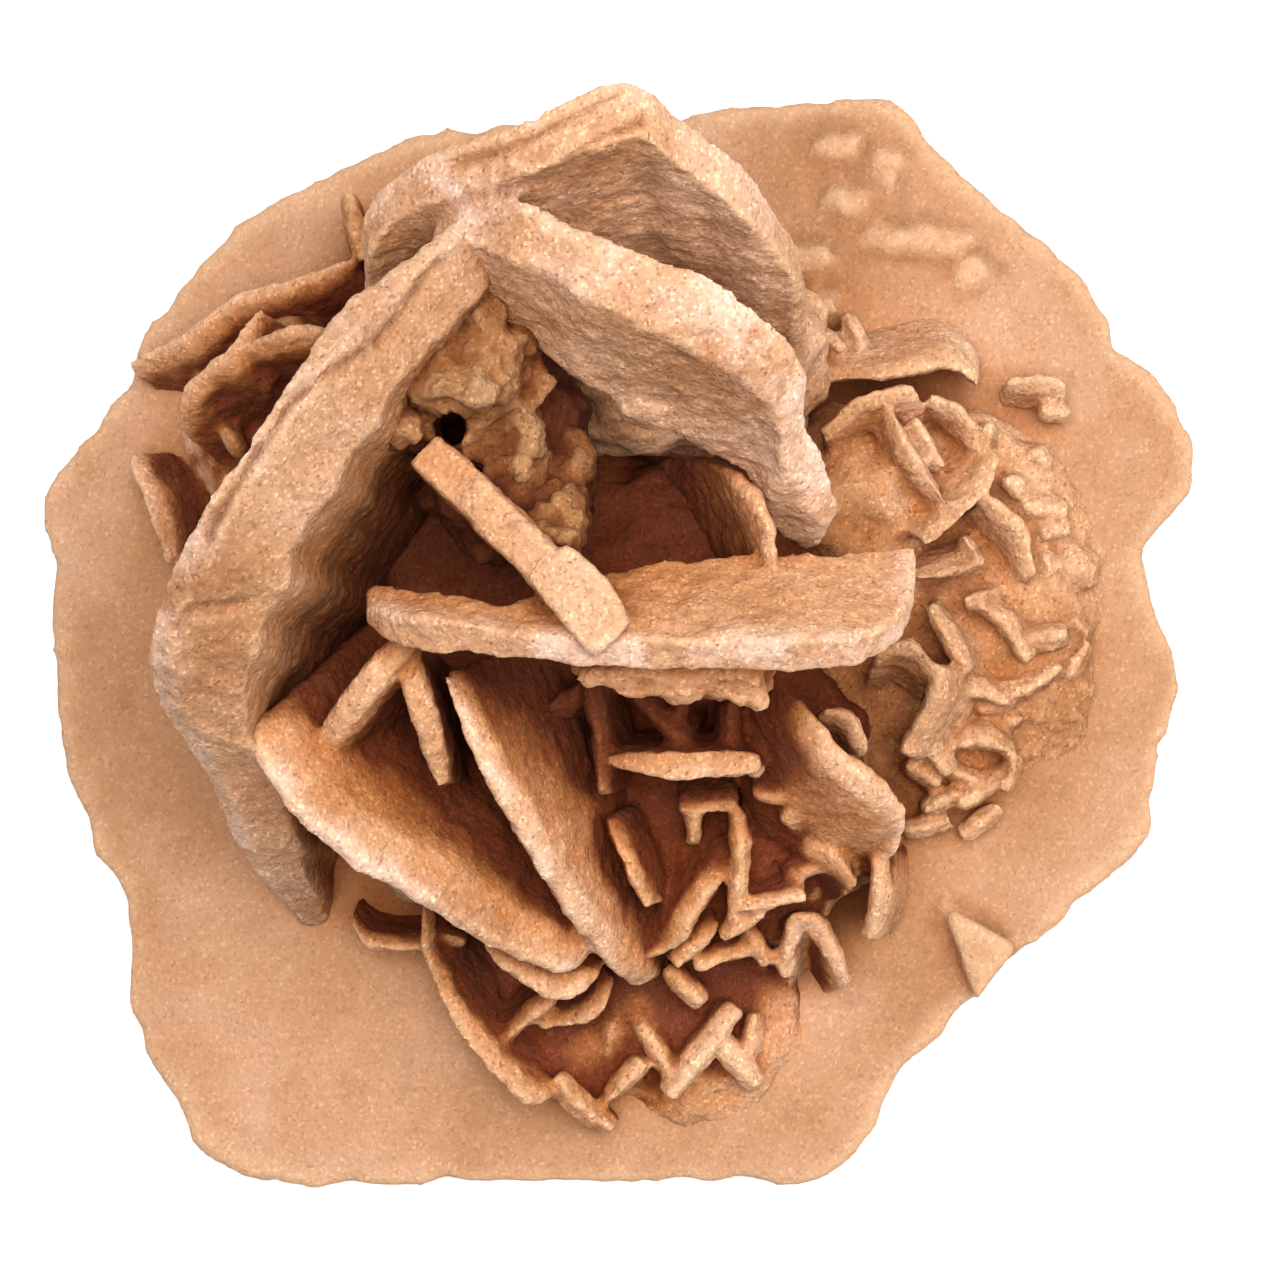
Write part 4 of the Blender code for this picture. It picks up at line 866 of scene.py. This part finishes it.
def grow(name, skins, voxel, bore=None, highlighted=(), **relief):
    """A finished piece: joined, remeshed, roughened, smooth-shaded and riding the frame."""
    mesh = remeshed(name, skins, voxel, bore)
    roughen(mesh, **relief)
    # The rim number: painted highlight where the net stands out, painted shade where it sinks.
    paint(mesh, "rim", np.clip(stand_out(mesh, EDGE_ROUNDS) / RIM_HEIGHT, -1.0, 1.0))
    points = points_and_normals(mesh)[0]
    mottle = PLATE_MOTTLE if name == "base_plate" else MOTTLE
    paint(mesh, "mottle", 0.5 + mottle * rough_noise(points, MOTTLE_CELL, 4, 71))
    # Whiter painted highlight along the rims of the large blades, in patches.
    paint(mesh, "painted_highlight", painted_highlight(points, highlighted) * patches(points))
    mesh.shade_smooth()
    mesh.materials.clear()
    mesh.materials.append(own_sand.get(name, sand))
    piece = bpy.data.objects.new(name, mesh)
    bpy.context.scene.collection.objects.link(piece)
    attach(piece, "root")
    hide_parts("sand_rose")
    mesh.calc_loop_triangles()
    print(name, "triangles:", len(mesh.loop_triangles))
    return piece


def blades(*names):
    """The skins of these large blades."""
    return [blade_skin(**LARGE_BLADES[name]) for name in names]


def bladelets(group):
    """The skins of a group's bladelets."""
    return [bladelet_skin(*row) for row in SMALL_BLADES[group]]


def crumbs():
    """The skins of the crumbs on the plate and of the chip, whose corners are repeated at
    each of its levels."""
    chip = np.array([[(x, y, level) for x, y in CHIP] for level in CHIP_LEVELS], dtype=float)
    return [lump_skin(*crumb, crumble=0.4) for crumb in PLATE_CRUMBS] + [skin(chip)]


def lumps(*numbers, crumble=0.16):
    """The skins of the sand lumps with these numbers."""
    return [lump_skin(*SAND_LUMPS[number], crumble) for number in numbers]


# %% [markdown]
# ## Plate and tall wings
# The plate is wide and smooth, so a coarse net and little relief are enough. Three tall
# wings stand on it at the back and meet at one corner. The right wing and the back wing make
# one piece with the sand between them, because they have grown into each other.

# %% Grow the plate and the wings
base_plate = grow("base_plate", [plate_skin()] + crumbs(), 0.36, swell=0.25, lumps=0.06, grit=0.03)
left_wing = grow("left_wing", blades("left wing"), 0.23, furrows=FURROWS["left wing"],
                 highlighted=("left wing",))
rear_wings = grow("rear_wings", blades("right wing", "back wing")
                  + lumps(2, 13, 14, 17), 0.24, furrows=FURROWS["rear wings"],
                  highlighted=("right wing", "back wing"))

# %% [markdown]
# ## The heart
# In front of the wings a thick shelf blade crosses the rose, with a strut lying over it and a
# dark fin behind. Crumbly sand fills the corner beside them, with a round hole in it, and
# hangs under the shelf. It is the roughest part of the rose, so it takes the most relief.

# %% Grow the heart
HOLE_PLACE = (-8.2, 10.7)
HOLE_RADIUS = 0.95
HOLE_FLOOR = 15.0
DRILL_TOP = 32.0
heart = grow("heart", blades("shelf", "shelf tip", "strut", "strut end", "fin"), 0.2,
             highlighted=("shelf", "shelf tip"))
filler = grow("filler", lumps(0, 1, 10, 11, 12, 16, 18, 19, 21, crumble=0.3), 0.22,
              bore=(*HOLE_PLACE, HOLE_RADIUS, HOLE_FLOOR, DRILL_TOP), lumps=0.35, grit=0.2)
clump = grow("clump", lumps(9, crumble=0.3), 0.22, lumps=0.3, grit=0.16)

# %% [markdown]
# ## The blades below the shelf
# The rose steps down towards the lower rim in thinner blades, which lean inward and leave deep
# pockets between them. Bladelets cross in these pockets, so they are grown with the blades.

# %% Grow the lower blades
lower_left = grow("lower_left", blades("lower left wing", "lower left spur", "long blade",
                                       "short blade", "middle blade") + lumps(4), 0.24,
                  highlighted=("lower left wing", "long blade"))
lower_middle = grow("lower_middle", blades("right blade", "low ledge", "lower slant")
                    + bladelets("under the shelf") + lumps(3, 5), 0.24,
                    highlighted=("right blade", "low ledge"))

# %% [markdown]
# ## The fans
# Round the outside, bladelets spread in three fans on low mounds of sand. Each fan is one
# piece with its mound, so that every bladelet runs into the sand without a seam.

# %% Grow the fans
right_fan = grow("right_fan", bladelets("right fan") + lumps(6, 15, 20), 0.22)
lower_fan = grow("lower_fan", blades("curved wing") + bladelets("lower fan") + lumps(7), 0.21)
upper_left = grow("upper_left", blades("outer left ledge", "inner left ledge",
                                       "upper left ledge", "outer left blade")
                  + bladelets("upper left fan") + lumps(8), 0.21)

# %% [markdown]
# ## Deep places
# Deep between the blades little light gets in, and there a dark red brown is painted: painted
# shade, far redder than shadow alone would make it. So the share of the sky that other parts
# hide is reckoned from a map of heights, smoothed, and painted for the material. Each piece
# has the least value it takes and its own share of the effect, both given per piece.

# %% Map of heights
CELL = 0.5
MAP_REACH = 45
HEART_PLACE = (-2.0, 4.0)
SKY_TURNS = 12
SKY_REACHES = (0.9, 1.8, 3.2, 5.5, 9.0)


def height_map(meshes):
    """The highest point of all meshes in every cell of the ground plan."""
    across = int(2 * MAP_REACH / CELL)
    top = np.zeros((across, across))
    for mesh in meshes:
        points = points_and_normals(mesh)[0]
        i, j = ((points[:, :2] + MAP_REACH) / CELL).astype(int).T
        np.maximum.at(top, (i, j), points[:, 2])
    return top


def hidden(points, normals, top):
    """The share of the sky that other heights hide. In each direction it is the sine of the
    steepest view up to the heights at the five reaches, and then the mean is taken. Walls
    that look away from the heart are open to the side, so up to four fifths are taken off
    by the weight 2.5 c - 1.1, held to 0..1. There c is the cosine between the normal and
    the way out, and the weight fades in from 10 to 15 mm from the heart."""
    outward = points[:, :2] - np.array(HEART_PLACE)
    far = np.linalg.norm(outward, axis=1) + 1e-6
    facing_out = np.clip(2.5 * (outward * normals[:, :2]).sum(axis=1) / far - 1.1, 0.0, 1.0)
    facing_out *= np.clip((far - 10.0) / 5.0, 0.0, 1.0)
    total = np.zeros(len(points))
    for turn in np.linspace(0, 2 * math.pi, SKY_TURNS, endpoint=False):
        steepest = np.zeros(len(points))
        for reach in SKY_REACHES:
            x = points[:, 0] + reach * math.cos(turn)
            y = points[:, 1] + reach * math.sin(turn)
            i = ((x + MAP_REACH) / CELL).astype(int)
            j = ((y + MAP_REACH) / CELL).astype(int)
            np.maximum(steepest, (top[i, j] - points[:, 2]) / reach, out=steepest)
        total += steepest / np.sqrt(1 + steepest ** 2)
    return total / SKY_TURNS * (1.0 - 0.8 * facing_out)


# %% How much sky everything sees
SHADE_ROUNDS = 5
# Least value and share of the painted shade for each piece. The least values of the filler and the
# clump make them partly their own darker loose sand and partly painted shade under the blades.
pieces = {base_plate: (0.0, 0.7), left_wing: (0.0, 0.75), rear_wings: (0.0, 0.36),
          heart: (0.0, 0.85), filler: (0.35, 1.0), clump: (0.2, 1.0), lower_left: (0.0, 1.0),
          lower_middle: (0.0, 1.4), right_fan: (0.0, 0.65), lower_fan: (0.0, 1.15),
          upper_left: (0.0, 1.0)}
top = height_map([piece.data for piece in pieces])
for piece, (least, share) in pieces.items():
    shade = share * hidden(*points_and_normals(piece.data), top)
    shade = neighbour_means(piece.data, [shade], SHADE_ROUNDS)[:, 0]
    # Painted shade in deep places, stored as hidden.
    paint(piece.data, "hidden", np.maximum(shade, least))
    print(piece.name, "hidden sky, low, middle and high:",
          np.percentile(shade, (10, 50, 90)).round(2))

# %% [markdown]
# ## Floor, light and camera
# The photograph looks straight down on the rose against bright white, in soft light. So the
# floor is a large pale sheet, a big soft lamp hangs over it, a weaker one at the right brings
# out the relief, and the camera looks down from 24 cm above the floor.

# %% Floor
FLOOR_HALF = 0.6
corners = [(x * FLOOR_HALF, y * FLOOR_HALF, 0) for x, y in ((-1, -1), (1, -1), (1, 1), (-1, 1))]
floor_mesh = bpy.data.meshes.new("floor")
floor_mesh.from_pydata(corners, [], [(0, 1, 2, 3)])
floor = bpy.data.objects.new("floor", floor_mesh)
bpy.context.scene.collection.objects.link(floor)
paper = bpy.data.materials.new("paper")
paper.use_nodes = True
paper_shader = paper.node_tree.nodes["Principled BSDF"]
paper_shader.inputs["Base Color"].default_value = (0.9, 0.9, 0.9, 1)
paper_shader.inputs["Roughness"].default_value = 0.9
floor_mesh.materials.append(paper)
print("floor, m:", 2 * FLOOR_HALF, "square")


# %% Lamps and surroundings
AIM = (0, 0, 0.01)


def soft_lamp(name, place, size, watts):
    """A white square area lamp at a place, turned so that it faces the aim."""
    data = bpy.data.lights.new(name, "AREA")
    data.size = size
    data.energy = watts
    lamp = bpy.data.objects.new(name, data)
    bpy.context.scene.collection.objects.link(lamp)
    away = np.array(AIM, float) - np.array(place, float)
    flat = math.hypot(away[0], away[1])
    lamp.location = place
    lamp.rotation_euler = (math.atan2(flat, -away[2]), 0, math.atan2(away[0], -away[1]) + math.pi)


soft_lamp("top", (0.0, 0.05, 0.46), 0.40, 5.0)
soft_lamp("right", (0.42, 0.05, 0.30), 0.28, 1.4)
world = bpy.data.worlds.new("surroundings")
world.use_nodes = True
background = world.node_tree.nodes["Background"]
background.inputs["Color"].default_value = (1.0, 1.0, 1.0, 1.0)
background.inputs["Strength"].default_value = 0.15
bpy.context.scene.world = world
bpy.context.scene.view_settings.view_transform = "Standard"
print("lamps:", len(bpy.data.lights))

# %% Camera
CAMERA_PLACE = (1.15 * MM, 0.2 * MM, 240 * MM)
FRAME_PIXELS = 1280
FOCAL_PIXELS = 4356
camera_data = bpy.data.cameras.new("camera")
camera_data.angle = 2 * math.atan(FRAME_PIXELS / 2 / FOCAL_PIXELS)
camera_data.clip_start = 0.01
camera = bpy.data.objects.new("camera", camera_data)
camera.location = CAMERA_PLACE
bpy.context.scene.collection.objects.link(camera)
bpy.context.scene.camera = camera
print("view, degrees:", round(math.degrees(camera_data.angle), 1))
